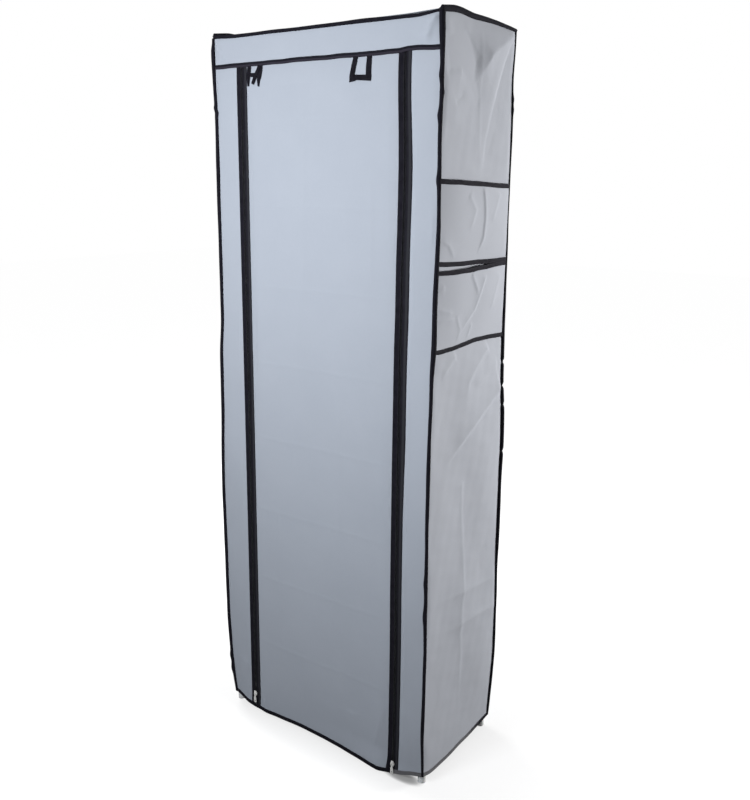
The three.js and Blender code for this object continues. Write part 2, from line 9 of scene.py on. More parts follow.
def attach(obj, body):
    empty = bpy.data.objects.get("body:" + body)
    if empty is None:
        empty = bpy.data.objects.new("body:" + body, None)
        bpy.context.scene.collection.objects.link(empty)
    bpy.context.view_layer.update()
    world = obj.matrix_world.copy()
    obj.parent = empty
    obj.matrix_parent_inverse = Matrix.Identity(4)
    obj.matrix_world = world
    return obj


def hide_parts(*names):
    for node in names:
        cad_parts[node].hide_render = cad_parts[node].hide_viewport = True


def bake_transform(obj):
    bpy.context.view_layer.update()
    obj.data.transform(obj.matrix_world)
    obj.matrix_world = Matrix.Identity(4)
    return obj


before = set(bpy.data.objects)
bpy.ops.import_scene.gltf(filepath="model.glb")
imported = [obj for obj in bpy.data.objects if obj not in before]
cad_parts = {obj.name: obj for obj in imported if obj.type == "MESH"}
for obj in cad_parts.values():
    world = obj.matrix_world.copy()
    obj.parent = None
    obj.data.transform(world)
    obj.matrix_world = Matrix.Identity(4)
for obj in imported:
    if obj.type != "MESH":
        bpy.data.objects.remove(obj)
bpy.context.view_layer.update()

print("frame loaded")

cover = {
    "halfWidth": 287, "halfDepth": 142, "top": 1597, "sewnTop": 1596, "frontTop": 1531.2, "flare": 7,
    "clothThickness": 0.7, "tapeOuter": 223, "zipCentre": 210, "cell": 4.5,
}
halfWidth, halfDepth, zipCentre = (cover[key] for key in ("halfWidth", "halfDepth", "zipCentre"))
leanSlope = cover["flare"] / cover["frontTop"]


# small shared tools
def ease(share):
    share = np.clip(share, 0, 1)
    return share * share * (3 - 2 * share)


def between(low, high, share):
    return low + (high - low) * share


def unit(ways):
    return ways / np.linalg.norm(ways, axis=-1, keepdims=True)


def lengthAlong(places):
    return np.concatenate([[0], np.cumsum(np.linalg.norm(np.diff(places, axis=0), axis=1))])


def smoothNoise(seed, wavelength, waves=7):
    random = np.random.default_rng(seed)
    heading = random.uniform(0, 2 * math.pi, waves)
    pace = 2 * math.pi / (wavelength * random.uniform(0.65, 1.7, waves))
    phase = random.uniform(0, 2 * math.pi, waves)

    def sample(a, b=0.0):
        a, b = np.asarray(a, float)[..., None], np.asarray(b, float)[..., None]
        return np.sin(pace * (a * np.cos(heading) + b * np.sin(heading)) + phase).sum(-1) / math.sqrt(waves)
    return sample


def smoothTable(pairs, blur=6.0):
    # a rounded line through (place, value) pairs
    places, values = (np.asarray(column, float) for column in zip(*pairs))
    fine = np.arange(places[0] - 4 * blur, places[-1] + 4 * blur)
    kernel = np.exp(-0.5 * (np.arange(-round(3 * blur), round(3 * blur) + 1) / blur) ** 2)
    padded = np.pad(np.interp(fine, places, values), len(kernel) // 2, mode="edge")
    rounded = np.convolve(padded, kernel / kernel.sum(), "valid")
    return lambda place: np.interp(place, fine, rounded)


# how far the cover bows, mostly sideways, at heights up its upright edges and the right zip
bows = {
    "frontRight": [(922, 0), (981, 1.4), (1040, 0.5), (1098, 0.7), (1155, 3.1), (1211, 5.1), (1266, 3.9), (1320, 3.3),
                   (1373, 1.7), (1426, 3.4), (1478, 4.7), (1529, 4), (1597, 1)],
    "frontRightForward": [(20, 2), (117, 9.5), (191, 7.8), (263, 5.7), (334, 4.4), (404, 7.6), (541, 8.1), (607, 9.6),
                          (799, 8.5), (861, 4.9), (922, 4.9), (981, 0)],
    "frontLeft": [(20, 0), (56, -2), (141, -11.5), (225, -16.3), (388, -17), (545, -19), (622, -18.5), (697, -15.8),
                  (771, -11.6), (915, -9.7), (985, -2.4), (1190, -2), (1385, 0), (1448, 0), (1510, -3), (1571, -5),
                  (1597, -1.5)],
    "backRight": [(20, 1), (118, 6.5), (200, 11), (358, 10.4), (435, 8), (658, 7.6), (730, 8.4), (801, 6.4),
                  (870, 2), (1005, -1.2), (1325, 0.2), (1445, 0), (1504, -3), (1562, 0.7), (1597, 0)],
    "backLeft": [(20, 0), (240, -5), (520, -8), (760, -3), (1100, 0), (1400, -1), (1597, 0)],
    "rightZip": [(40, 0), (82, 1.2), (306, 1.4), (449, -0.2), (719, -0.7), (972, 0), (1033, 1.3), (1150, 1.8),
                 (1208, 3.2), (1320, 4.2), (1400, 2.6), (1465, 0)],
}
bowAt = {edge: smoothTable(pairs, 16) for edge, pairs in bows.items()}


def nearEdges(x, y):
    # how near a place is to the front, the back, the right and the left edges, from 0 to 1
    x, y = np.asarray(x, float), np.asarray(y, float)
    inward, across = halfWidth - cover["tapeOuter"], halfDepth + 60
    return (ease((60 - y) / across), ease((y + 60) / across),
            ease((x - cover["tapeOuter"]) / inward), ease((-x - cover["tapeOuter"]) / inward))


def sidewaysBow(x, y, z):
    nearFront, nearBack, nearRight, nearLeft = nearEdges(x, y)
    nearZip = nearFront * ease((np.asarray(x, float) - 40) / 150) * (1 - nearRight)
    return (nearRight * (nearFront * bowAt["frontRight"](z) + nearBack * bowAt["backRight"](z))
            + nearLeft * (nearFront * bowAt["frontLeft"](z) + nearBack * bowAt["backLeft"](z))
            + nearZip * bowAt["rightZip"](z))


def forwardBow(x, y, z):
    # the lower half of the front right edge bows to the front instead
    nearFront, _, nearRight, _ = nearEdges(x, y)
    return -nearRight * nearFront * bowAt["frontRightForward"](z)


def crease(a, b, path, height, wide, otherWide, edge=1.5, fades=(0.12, 0.35)):
    # a ridge, or a valley where height is negative, along a line of places on the cloth
    # wide is the flank on the left of the way the line runs, otherWide the one on the right
    path = np.asarray(path, float)
    steps = np.diff(path, axis=0)
    lengths = np.hypot(steps[:, 0], steps[:, 1])
    run = np.concatenate([[0], np.cumsum(lengths)]) / lengths.sum()
    nearest, share, side = np.full(np.shape(a), 1e9), np.zeros(np.shape(a)), np.ones(np.shape(a))
    for index, step in enumerate(steps):
        fromA, fromB = a - path[index, 0], b - path[index, 1]
        along = np.clip((fromA * step[0] + fromB * step[1]) / (step @ step), 0, 1)
        away = np.hypot(fromA - along * step[0], fromB - along * step[1])
        closer = away < nearest
        nearest = np.where(closer, away, nearest)
        share = np.where(closer, between(run[index], run[index + 1], along), share)
        side = np.where(closer, np.sign(step[0] * fromB - step[1] * fromA), side)
    reach = np.where(side > 0, wide, otherWide)
    ridge = np.exp(-(np.sqrt(nearest ** 2 + edge ** 2) - edge) / reach)
    return height * ridge * ease(share / fades[0]) * ease((1 - share) / fades[1])


def addFolds(out, a, b, folds, share=1, **settings):
    # a fold is (its places, height, wide, otherWide)
    for fold in folds:
        out = out + share * crease(a, b, *fold, **settings)
    return out


def linked(name, data):
    made = bpy.data.objects.new(name, data)
    bpy.context.collection.objects.link(made)
    return made


def meshObject(name, points, faces, material, uv=None, sharpAngle=50):
    mesh = bpy.data.meshes.new(name)
    mesh.from_pydata((np.asarray(points) / 1000).tolist(), [], [list(map(int, face)) for face in faces])
    if uv is not None:
        corners = np.zeros(len(mesh.loops), np.int32)
        mesh.loops.foreach_get("vertex_index", corners)
        layer = mesh.uv_layers.new(name="UVMap")
        layer.data.foreach_set("uv", (np.asarray(uv, float) / 1000)[corners].ravel())
    mesh.polygons.foreach_set("use_smooth", np.ones(len(mesh.polygons), bool))
    mesh.set_sharp_from_angle(angle=math.radians(sharpAngle))
    mesh.materials.append(material)
    return linked(name, mesh)


def gridFaces(columns, rows, offset=0, flip=False):
    row, column = np.meshgrid(np.arange(rows), np.arange(columns), indexing="ij")
    first = (row * (columns + 1) + column).ravel() + offset
    quads = np.stack([first, first + 1, first + columns + 2, first + columns + 1], 1)
    return quads[:, ::-1] if flip else quads


def clothPiece(name, place, size, material, cell=cover["cell"]):
    # place(u, v) gives the middle surface in mm; u across, v up, outside towards u x v
    halfThick = cover["clothThickness"] / 2
    columns, rows = (max(2, round(length / cell)) for length in size)
    u, v = np.meshgrid(np.linspace(0, 1, columns + 1), np.linspace(0, 1, rows + 1))
    middle = np.stack(np.broadcast_arrays(*place(u, v)), -1).astype(float)
    normal = unit(np.cross(np.gradient(middle, axis=1), np.gradient(middle, axis=0)))
    count = (columns + 1) * (rows + 1)
    points = np.concatenate([(middle + normal * side * halfThick).reshape(-1, 3) for side in (1, -1)])
    uv = np.tile(np.stack([u * size[0], v * size[1]], -1).reshape(-1, 2), (2, 1))
    faces = [gridFaces(columns, rows), gridFaces(columns, rows, count, True)]
    low, left = np.arange(columns), np.arange(rows) * (columns + 1)
    for edge, step, turned in ((low, 1, False), (low + rows * (columns + 1), 1, True),
                               (left, columns + 1, True), (left + columns, columns + 1, False)):
        rim = np.stack([edge, edge + count, edge + count + step, edge + step], 1)
        faces.append(rim[:, [0, 3, 2, 1]] if turned else rim)
    return meshObject(name, points, np.concatenate(faces), material, uv)


def sweptShape(path, across, outward, profile, scale=None):
    # a closed rod: the profile (across, outward) carried along the path, its ends rounded in
    path, across, outward, profile = (np.asarray(item, float) for item in (path, across, outward, profile))
    across, outward = (np.broadcast_to(item, path.shape) for item in (across, outward))
    scale = np.ones(len(path)) if scale is None else np.asarray(scale, float)
    tipReach, tipScale = 0.35 * np.abs(profile).max(0).min(), 0.7
    tangent = unit(np.gradient(path, axis=0))
    path = np.concatenate([[path[0] - tangent[0] * tipReach], path, [path[-1] + tangent[-1] * tipReach]])
    across, outward = (np.concatenate([item[:1], item, item[-1:]]) for item in (across, outward))
    scale = np.concatenate([[scale[0] * tipScale], scale, [scale[-1] * tipScale]])
    rings = (path[:, None] + scale[:, None, None] * (profile[None, :, :1] * across[:, None]
             + profile[None, :, 1:] * outward[:, None]))
    count, sides = len(path), len(profile)
    girth, run = lengthAlong(profile)[None, :], lengthAlong(path)[:, None]
    uv = np.stack(np.broadcast_arrays(girth, run), -1).reshape(-1, 2)
    faces = []
    for ring in range(count - 1):
        for side in range(sides):
            a, b = ring * sides + side, ring * sides + (side + 1) % sides
            faces.append([a, b, b + sides, a + sides])
    faces += [list(range(sides))[::-1], [(count - 1) * sides + side for side in range(sides)]]
    if np.einsum("ij,ij->i", np.cross(across[1:-1], outward[1:-1]), tangent).mean() <= 0:
        faces = [face[::-1] for face in faces]
    return rings.reshape(-1, 3), faces, uv


def sweptPiece(name, material, shapes):
    # one mesh from several swept shapes
    points, faces, uvs, offset = [], [], [], 0
    for shapePoints, shapeFaces, shapeUv in shapes:
        points.append(shapePoints)
        uvs.append(shapeUv)
        faces += [[index + offset for index in face] for face in shapeFaces]
        offset += len(shapePoints)
    return meshObject(name, np.concatenate(points), faces, material, np.concatenate(uvs))


def roundProfile(radius, sides=12):
    turn = np.linspace(0, 2 * math.pi, sides, endpoint=False)
    return radius * np.stack([np.cos(turn), np.sin(turn)], 1)


def tapeProfile(width, thickness, groove=0.0, seams=(), steps=14):
    # a folded tape seen end on: rounded edges, and a shallow groove at each seam on both faces
    half, bulge, grooveReach = width / 2, thickness / 2, 0.7
    across = np.linspace(-half + bulge, half - bulge, steps)
    face = np.full(steps, bulge)
    for seam in seams:
        face = face - groove * np.exp(-((across - seam) / grooveReach) ** 2)
    corner = [[half - bulge + bulge * math.cos(turn), bulge * math.sin(turn)]
              for turn in np.linspace(-math.pi / 2, math.pi / 2, 6)[1:-1]]
    top = np.stack([across[::-1], face[::-1]], 1)
    bottom = np.stack([across, -face], 1)
    other = [[-x, -y] for x, y in corner]
    return np.concatenate([bottom, corner, top, other])


def alongLine(points, step):
    # the same line, cut into even steps of about this length
    points = np.asarray(points, float)
    run = lengthAlong(points)
    even = np.linspace(0, run[-1], max(2, round(run[-1] / step)) + 1)
    return np.stack([np.interp(even, run, points[:, axis]) for axis in range(points.shape[1])], 1)


# materials
def addNode(tree, kind, feeds=None, **settings):
    # feeds are links or plain values for the node's inputs, by name or number
    node = tree.nodes.new(kind)
    node.location = (60 * len(tree.nodes), -20 * len(tree.nodes))
    for name, value in settings.items():
        setattr(node, name, value)
    for name, value in (feeds or {}).items():
        if isinstance(value, bpy.types.NodeSocket):
            tree.links.new(value, node.inputs[name])
        else:
            node.inputs[name].default_value = value
    return node


def mathNode(tree, operation, *values):
    return addNode(tree, "ShaderNodeMath", dict(enumerate(values)), operation=operation).outputs[0]


def axesOf(tree, vector):
    return addNode(tree, "ShaderNodeSeparateXYZ", {0: vector}).outputs


def waveAlong(tree, operation, place, pitch, turn):
    # a wave that goes through this turn in each pitch
    return mathNode(tree, operation, mathNode(tree, "MULTIPLY", mathNode(tree, "DIVIDE", place, pitch), turn))


def addSockets(tree, way, kind, names):
    # a dictionary of names also gives their starting values
    for name in names:
        socket = tree.interface.new_socket(name=name, in_out=way, socket_type="NodeSocket" + kind)
        if isinstance(names, dict):
            socket.default_value = names[name]


def newGroup(name, outputs, **values):
    group = bpy.data.node_groups.new(name, "ShaderNodeTree")
    addSockets(group, "INPUT", "Vector", ["Vector"])
    addSockets(group, "INPUT", "Float", values)
    addSockets(group, "OUTPUT", "Float", outputs)
    return group, addNode(group, "NodeGroupInput").outputs, addNode(group, "NodeGroupOutput").inputs


def spreadNoise(group, given, detail, roughness, limits, **ends):
    # noise at the given scale, and the same with what lies between the limits drawn out
    noise = addNode(group, "ShaderNodeTexNoise", {"Vector": given["Vector"], "Scale": given["Scale"],
                                                  "Detail": detail, "Roughness": roughness}).outputs[0]
    feeds = {"Value": noise, "From Min": limits[0], "From Max": limits[1], **ends}
    return noise, addNode(group, "ShaderNodeMapRange", feeds).outputs[0]


def clothEmbossGroup():
    # spunbond cloth: a diamond field of small pressed points over loose fibres
    group, given, made = newGroup("clothEmboss", ["Height"], Pitch=0.0016, Fibre=0.5)
    axes = axesOf(group, given["Vector"])
    waves = [waveAlong(group, "COSINE", mathNode(group, operation, axes[0], axes[1]), given["Pitch"], math.pi)
             for operation in ("ADD", "SUBTRACT")]
    points = mathNode(group, "POWER", mathNode(group, "ABSOLUTE", mathNode(group, "MULTIPLY", *waves)), 3.0)
    stretched = addNode(group, "ShaderNodeMapping", {"Vector": given["Vector"], "Scale": (1.0, 0.45, 1.0)})
    fibres = addNode(group, "ShaderNodeTexNoise", {"Vector": stretched.outputs[0], "Scale": 900.0,
                                                   "Detail": 3.0, "Roughness": 0.7})
    strand = mathNode(group, "MULTIPLY", fibres.outputs[0], given["Fibre"])
    group.links.new(mathNode(group, "SUBTRACT", strand, points), made["Height"])
    return group


def softMottleGroup():
    group, given, made = newGroup("softMottle", ["Value"], Scale=10.0, Low=0.0, High=1.0)
    ends = {"To Min": given["Low"], "To Max": given["High"]}
    spread = spreadNoise(group, given, 5.0, 0.62, (0.3, 0.7), **ends)[1]
    group.links.new(spread, made["Value"])
    return group


def ribWeaveGroup():
    # fine ribs across a woven tape, broken up by the yarns that run along it
    group, given, made = newGroup("ribWeave", ["Height"], Rib=0.0009, Yarn=0.0006)
    axes = axesOf(group, given["Vector"])
    ribs, yarns = (waveAlong(group, "SINE", axes[axis], given[pitch], 2 * math.pi)
                   for axis, pitch in ((1, "Rib"), (0, "Yarn")))
    group.links.new(mathNode(group, "MULTIPLY", ribs, mathNode(group, "ADD", yarns, 1.6)), made["Height"])
    return group


def fineWearGroup():
    group, given, made = newGroup("fineWear", ["Mask", "Height"], Scale=120.0, Amount=0.5)
    blots, spread = spreadNoise(group, given, 6.0, 0.7, (0.45, 0.72))
    group.links.new(mathNode(group, "MULTIPLY", spread, given["Amount"]), made["Mask"])
    group.links.new(blots, made["Height"])
    return group


clothEmboss, softMottle, ribWeave, fineWear = (
    clothEmbossGroup(), softMottleGroup(), ribWeaveGroup(), fineWearGroup())


def softStep(tree, value, limits, ends):
    # from one end to the other between the limits
    feeds = {"Value": value, "From Min": limits[0], "From Max": limits[1], "To Min": ends[0], "To Max": ends[1]}
    return addNode(tree, "ShaderNodeMapRange", feeds, interpolation_type="SMOOTHSTEP").outputs[0]


def newMaterial(name, roughness=0.5, metallic=0.0, coordinates="UV", **constants):
    material = bpy.data.materials.new(name)
    material.use_nodes = True
    tree = material.node_tree
    shader = tree.nodes["Principled BSDF"].inputs
    for socket, value in {"Roughness": roughness, "Metallic": metallic, **constants}.items():
        shader[socket.replace("_", " ")].default_value = value
    return material, tree, shader, addNode(tree, "ShaderNodeTexCoord").outputs[coordinates]


def useGroup(tree, group, vector, **values):
    return addNode(tree, "ShaderNodeGroup", {"Vector": vector, **values}, node_tree=group).outputs


def blendColours(tree, factor, *colours):
    # from the first colour to the second, either of them a link or plain
    first, second = (value if isinstance(value, bpy.types.NodeSocket) else (*value, 1) for value in colours)
    return addNode(tree, "ShaderNodeMix", {0: factor, 6: first, 7: second}, data_type="RGBA").outputs[2]


def addBump(tree, shader, height, distance, strength):
    bump = addNode(tree, "ShaderNodeBump", {"Height": height, "Strength": strength, "Distance": distance})
    tree.links.new(bump.outputs[0], shader["Normal"])


def clothMaterial(name, dark, light, mottleScale=9.0):
    material, tree, shader, vector = newMaterial(name, Sheen_Weight=0.12, Sheen_Roughness=0.5,
                                                 Specular_IOR_Level=0.25)
    broad, fine = (useGroup(tree, softMottle, vector, Scale=scale)[0] for scale in (mottleScale, 160.0))
    both = mathNode(tree, "ADD", mathNode(tree, "MULTIPLY", broad, 0.6), mathNode(tree, "MULTIPLY", fine, 0.4))
    rough = mathNode(tree, "ADD", mathNode(tree, "MULTIPLY", fine, 0.12), 0.8)
    tree.links.new(blendColours(tree, both, dark, light), shader["Base Color"])
    tree.links.new(rough, shader["Roughness"])
    addBump(tree, shader, useGroup(tree, clothEmboss, vector)[0], 0.00012, 0.6)
    return material


def tapeMaterial(name, dark, light, rib=0.0009, roughness=0.75, highlightBand=None, paleStretch=None):
    # the first band, (start, end, colour), is a painted highlight: a lighter band between two places across the tape,
    # where it catches the light, in metres
    # the second, given the same way, paints a paler colour over a stretch along it that ends softly
    material, tree, shader, vector = newMaterial(name, roughness, Sheen_Weight=0.01, Sheen_Roughness=0.4,
                                                 Specular_IOR_Level=0.08)
    colour = blendColours(tree, useGroup(tree, softMottle, vector, Scale=55.0)[0], dark, light)
    # painted highlight: a lighter band across the tape where it catches the light
    if highlightBand:
        start, end, paint = highlightBand
        across = axesOf(tree, vector)[0]
        inside = mathNode(tree, "MULTIPLY", mathNode(tree, "GREATER_THAN", across, start),
                          mathNode(tree, "LESS_THAN", across, end))
        colour = blendColours(tree, inside, colour, paint)
    if paleStretch:
        start, end, paint = paleStretch
        fading = softStep(tree, axesOf(tree, vector)[1], (start, end), (1.0, 0.0))
        colour = blendColours(tree, fading, colour, paint)
    tree.links.new(colour, shader["Base Color"])
    addBump(tree, shader, useGroup(tree, ribWeave, vector, Rib=rib)[0], 0.00008, 0.7)
    return material


def hardMaterial(name, dark, light, roughness, metallic=0.0, scale=120.0, bump=0.00003, **constants):
    material, tree, shader, vector = newMaterial(name, roughness, metallic, "Object", **constants)
    mask, height = useGroup(tree, fineWear, vector, Scale=scale, Amount=0.6)
    rough = mathNode(tree, "ADD", mathNode(tree, "MULTIPLY", mask, 0.18), roughness)
    tree.links.new(blendColours(tree, mask, light, dark), shader["Base Color"])
    tree.links.new(rough, shader["Roughness"])
    addBump(tree, shader, height, bump, 0.5)
    return material


coverCloth = clothMaterial("coverCloth", (0.387, 0.422, 0.482), (0.413, 0.448, 0.508))
sideCloth = clothMaterial("sideCloth", (0.397, 0.417, 0.462), (0.423, 0.443, 0.488))
shelfClothPaint = clothMaterial("shelfCloth", (0.34, 0.37, 0.42), (0.39, 0.42, 0.47), 7.0)
bindingTape = tapeMaterial("bindingTape", (0.0065, 0.0060, 0.0100), (0.0150, 0.0140, 0.0210))
# the right-hand hems are a paler grey over their front stretch, ending softly
hemTape = tapeMaterial("hemTape", (0.0065, 0.0060, 0.0100), (0.0150, 0.0140, 0.0210),
                       paleStretch=(0.17, 0.26, (0.175, 0.175, 0.185)))
# the valance binding is one dark tape; the lighter lower half of its front is a painted highlight where it catches
# the light
valanceTape = tapeMaterial("valanceTape", (0.0055, 0.0055, 0.0095), (0.0130, 0.0125, 0.0200),
                           highlightBand=(0.0143, 0.0200, (0.030, 0.027, 0.038)))
loopTapePaint = tapeMaterial("loopTape", (0.0065, 0.0060, 0.0095), (0.0150, 0.0140, 0.0200), 0.0011)
# the right-hand tape of each zip carries a painted highlight: a lighter band where its flat catches the light
zipTapeHighlit = tapeMaterial("zipTape", (0.0095, 0.0090, 0.0135), (0.0180, 0.0170, 0.0240), 0.0007, 0.7,
                            (0.0165, 0.0212, (0.032, 0.033, 0.039)))
coilNylon = hardMaterial("coilNylon", (0.011, 0.012, 0.014), (0.024, 0.026, 0.028), 0.45, scale=300.0,
                         Specular_IOR_Level=0.3)
threadPaint = hardMaterial("thread", (0.012, 0.011, 0.016), (0.028, 0.026, 0.034), 0.7, scale=900.0,
                           Specular_IOR_Level=0.3)
greyThread = hardMaterial("greyThread", (0.36, 0.38, 0.43), (0.46, 0.49, 0.54), 0.75, scale=900.0)
tubeCoat = hardMaterial("tubeCoat", (0.52, 0.53, 0.55), (0.66, 0.67, 0.69), 0.33, 0.25, 60.0)
bracketPlastic = hardMaterial("bracketPlastic", (0.86, 0.86, 0.85), (0.94, 0.94, 0.93), 0.42,
                              scale=45.0, bump=0.00006, Subsurface_Weight=0.05)
platedMetal = hardMaterial("platedMetal", (0.80, 0.79, 0.76), (0.95, 0.94, 0.91), 0.34, 0.12, 260.0)
print("materials ready")


# what repeats along a seam: stitches and coil teeth, by geometry nodes
def strandTree():
    tree = bpy.data.node_groups.new("strandAlongSeam", "GeometryNodeTree")
    tree.is_modifier = True
    addSockets(tree, "INPUT", "Geometry", ["Geometry"])
    addSockets(tree, "INPUT", "Float", {"Spacing": 0.0035, "Reach": 0.0026, "Rise": 0.0003, "Thread": 0.00025,
                                        "Turn": 0.0, "Sink": 0.0002})
    addSockets(tree, "INPUT", "Material", ["Finish"])
    addSockets(tree, "OUTPUT", "Geometry", ["Geometry"])
    given, made = addNode(tree, "NodeGroupInput").outputs, addNode(tree, "NodeGroupOutput").inputs

    def step(kind, feeds, **settings):
        return addNode(tree, kind, feeds, **settings).outputs[0]

    line = step("GeometryNodeMeshToCurve", {"Mesh": given["Geometry"]})
    even = step("GeometryNodeResampleCurve", {"Curve": line, "Length": given["Spacing"]}, mode="LENGTH")

    # one strand: a shallow arch of thread whose two ends go into the cloth
    half = mathNode(tree, "MULTIPLY", given["Reach"], 0.5)
    before = mathNode(tree, "MULTIPLY", half, -1.0)
    below = mathNode(tree, "MULTIPLY", given["Sink"], -1.0)
    crown = mathNode(tree, "ADD", mathNode(tree, "MULTIPLY", given["Rise"], 2.0), given["Sink"])
    start, middle, end = (step("ShaderNodeCombineXYZ", {0: along, 2: height})
                          for along, height in ((before, below), (0.0, crown), (half, below)))
    arch = step("GeometryNodeCurveQuadraticBezier",
                {"Resolution": 5, "Start": start, "Middle": middle, "End": end})
    ring = step("GeometryNodeCurvePrimitiveCircle", {"Resolution": 6, "Radius": given["Thread"]})
    thread = step("GeometryNodeCurveToMesh", {"Curve": arch, "Profile Curve": ring, "Fill Caps": True})
    turned = step("GeometryNodeTransform", {"Geometry": thread,
                                            "Rotation": step("ShaderNodeCombineXYZ", {2: given["Turn"]})})

    outward = step("GeometryNodeInputNamedAttribute", {"Name": "outward"}, data_type="FLOAT_VECTOR")
    tangent = step("GeometryNodeInputTangent", {})
    facing = step("FunctionNodeAxesToRotation", {"Primary Axis": outward, "Secondary Axis": tangent},
                  primary_axis="Z", secondary_axis="X")
    placed = step("GeometryNodeInstanceOnPoints", {"Points": even, "Instance": turned, "Rotation": facing})
    smooth = step("GeometryNodeSetShadeSmooth", {"Geometry": step("GeometryNodeRealizeInstances", {0: placed})})
    finished = step("GeometryNodeSetMaterial", {"Geometry": smooth, "Material": given["Finish"]})
    tree.links.new(finished, made["Geometry"])
    return tree


strands = strandTree()


def shapedMesh(made):
    # the mesh with its modifiers applied, in place of the object
    shaped = bpy.data.meshes.new_from_object(made.evaluated_get(bpy.context.evaluated_depsgraph_get()))
    bpy.data.objects.remove(made)
    return shaped


def strandPiece(name, lines, outward, finish, **settings):
    # lines are lists of places in mm; outward is the way the thread stands off the cloth
    points, edges = [], []
    for line in lines:
        start = len(points)
        points += [tuple(place) for place in np.asarray(line, float) / 1000]
        edges += [(start + step, start + step + 1) for step in range(len(line) - 1)]
    mesh = bpy.data.meshes.new(name + "Line")
    mesh.from_pydata(points, edges, [])
    mesh.attributes.new("outward", "FLOAT_VECTOR", "POINT").data.foreach_set(
        "vector", np.tile(np.asarray(outward, float), len(points)))
    guide = linked(name + "Line", mesh)
    modifier = guide.modifiers.new("strands", "NODES")
    modifier.node_group = strands
    socketOf = {item.name: item.identifier for item in strands.interface.items_tree if item.in_out == "INPUT"}
    for key, value in settings.items():
        modifier[socketOf[key]] = float(value)
    modifier[socketOf["Finish"]] = finish
    return linked(name, shapedMesh(guide))


stitchSize = {"Spacing": 0.0036, "Reach": 0.0028, "Rise": 0.00022, "Thread": 0.00024, "Sink": 0.0002}


def stitchedSeam(name, lines, outward, finish=threadPaint, **changes):
    return strandPiece(name, lines, outward, finish, **{**stitchSize, **changes})


# the cloth front: where it leans, kicks forward at the floor and tucks under the valance
frontCloth = {
    "places": [-287, -240, -212, -120, -53, 60, 150, 180, 196, 212, 228, 245, 262, 287],
    "hem": [21.5, 12, 5.5, 7.5, 8.7, 6.5, 2.5, 1.9, 2.0, 2.4, 6, 12.5, 18.5, 22],
    "kick": [0, 2, 1.5, 1, 1, 4, 10, 12, 7.5, 2, 3, 4, 3, 0],
    "kickReach": [60, 60, 34, 60, 60, 60, 60, 60, 42, 19, 32, 45, 48, 50],
    "tuck": 0.8, "lineStep": 6.0,
}


def frontTable(key):
    fine = np.arange(-300, 301.0)
    values = np.interp(fine, frontCloth["places"], frontCloth[key])
    for _ in range(2):
        values = np.convolve(np.pad(values, 6, mode="edge"), np.ones(13) / 13, "valid")
    return lambda x: np.interp(x, fine, values)


hemAt, kickAt, kickReachAt = (frontTable(key) for key in ("hem", "kick", "kickReach"))


def frontX(x, z):
    return x + sidewaysBow(x, -halfDepth, z)


def frontY(x, z):
    x, z = np.broadcast_arrays(np.asarray(x, float), np.asarray(z, float))
    lean = np.maximum(cover["frontTop"] - z, 0) * leanSlope
    share = ease((halfWidth - np.abs(x)) / (halfWidth - cover["tapeOuter"]))
    kick = kickAt(x) * ease((kickReachAt(x) - z) / kickReachAt(x))
    return -halfDepth - lean * share - kick + forwardBow(x, -halfDepth, z)


def tuckAt(z):
    return frontCloth["tuck"] * ease((z - 1500) / 31)


def tuckedLine(x, low, high, out):
    z = np.linspace(low, high, max(2, round((high - low) / frontCloth["lineStep"])) + 1)
    return np.stack([frontX(x, z), frontY(x, z) - out + tuckAt(z), z], 1)


front, right, up, back = (np.array(way, float) for way in ((0, -1, 0), (1, 0, 0), (0, 0, 1), (0, 1, 0)))


def sewn(piece, body, slotName, *nodes):
    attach(piece, body)
    if nodes:
        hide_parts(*nodes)
    return piece


# door cloth, in three lengths that meet at two cuts
door = {
    "halfCloth": 199.6, "tuckFrom": 190.4, "tuckBack": 0.9, "top": 1538, "upperCut": 1490, "lowerCut": 1300,
    "bulge": 1.7, "slack": 1.3, "prints": [201, 374, 548, 724, 900, 1072, 1246, 1419], "printHeight": 0.5,
    "printReach": 3.2, "edgePucker": 0.16,
    "creases": [
        ([(-34, 1530), (-38, 1250), (-44, 915)], 1.3, 5, 11),
        ([(134, 1310), (136, 1060)], 1.0, 4, 9),
        ([(60, 860), (52, 420)], 0.8, 6, 12),
        ([(-120, 640), (-132, 60)], 1.0, 6, 14),
        ([(188, 170), (150, 14)], 2.2, 10, 16),
        ([(92, 120), (104, 8)], 1.8, 12, 14),
    ],
}
doorSlack, doorPucker = smoothNoise(11, 210), smoothNoise(12, 17)


def doorOut(x, z):
    rim = door["halfCloth"] - np.abs(x)
    seam = ease(rim / 30)
    out = seam * (door["bulge"] + door["slack"] * doorSlack(x, 0.45 * z))
    out = addFolds(out, x, z, door["creases"], seam)
    for level in door["prints"]:
        past = (z - level - doorPucker(x, level)) / door["printReach"]
        out = out + seam * door["printHeight"] * np.exp(-past ** 2)
    out = out + door["edgePucker"] * doorPucker(0 * x, z) * ease(1 - seam) * ease(rim / 4)
    return out * ease((cover["frontTop"] + 2 - z) / 40)


def doorPlace(low, high):
    def place(u, v):
        x = between(-door["halfCloth"], door["halfCloth"], u)
        z = between(hemAt(x) + 3 if low is None else low, high, v)
        tuck = door["tuckBack"] * ease((np.abs(x) - door["tuckFrom"]) / 4) + tuckAt(z)
        return frontX(x, z), frontY(x, z) + tuck - doorOut(x, z), z
    return place


doorWidth = 2 * door["halfCloth"]
doorLengths = [("doorClothTop", door["upperCut"], door["top"]),
               ("doorClothMiddle", door["lowerCut"], door["upperCut"]),
               ("doorClothLower", None, door["lowerCut"])]
doorCloths = [clothPiece(name, doorPlace(low, high), (doorWidth, high - (low or 9)), coverCloth)
              for name, low, high in doorLengths]

# the imported part that each length stands in for
doorNodes = [("door_upper",), ("door_middle",), ("door_lower",)]
print("door cloth made")


def bent(piece, index, slotName, *nodes):
    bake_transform(piece)
    if nodes:
        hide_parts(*nodes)
    return piece


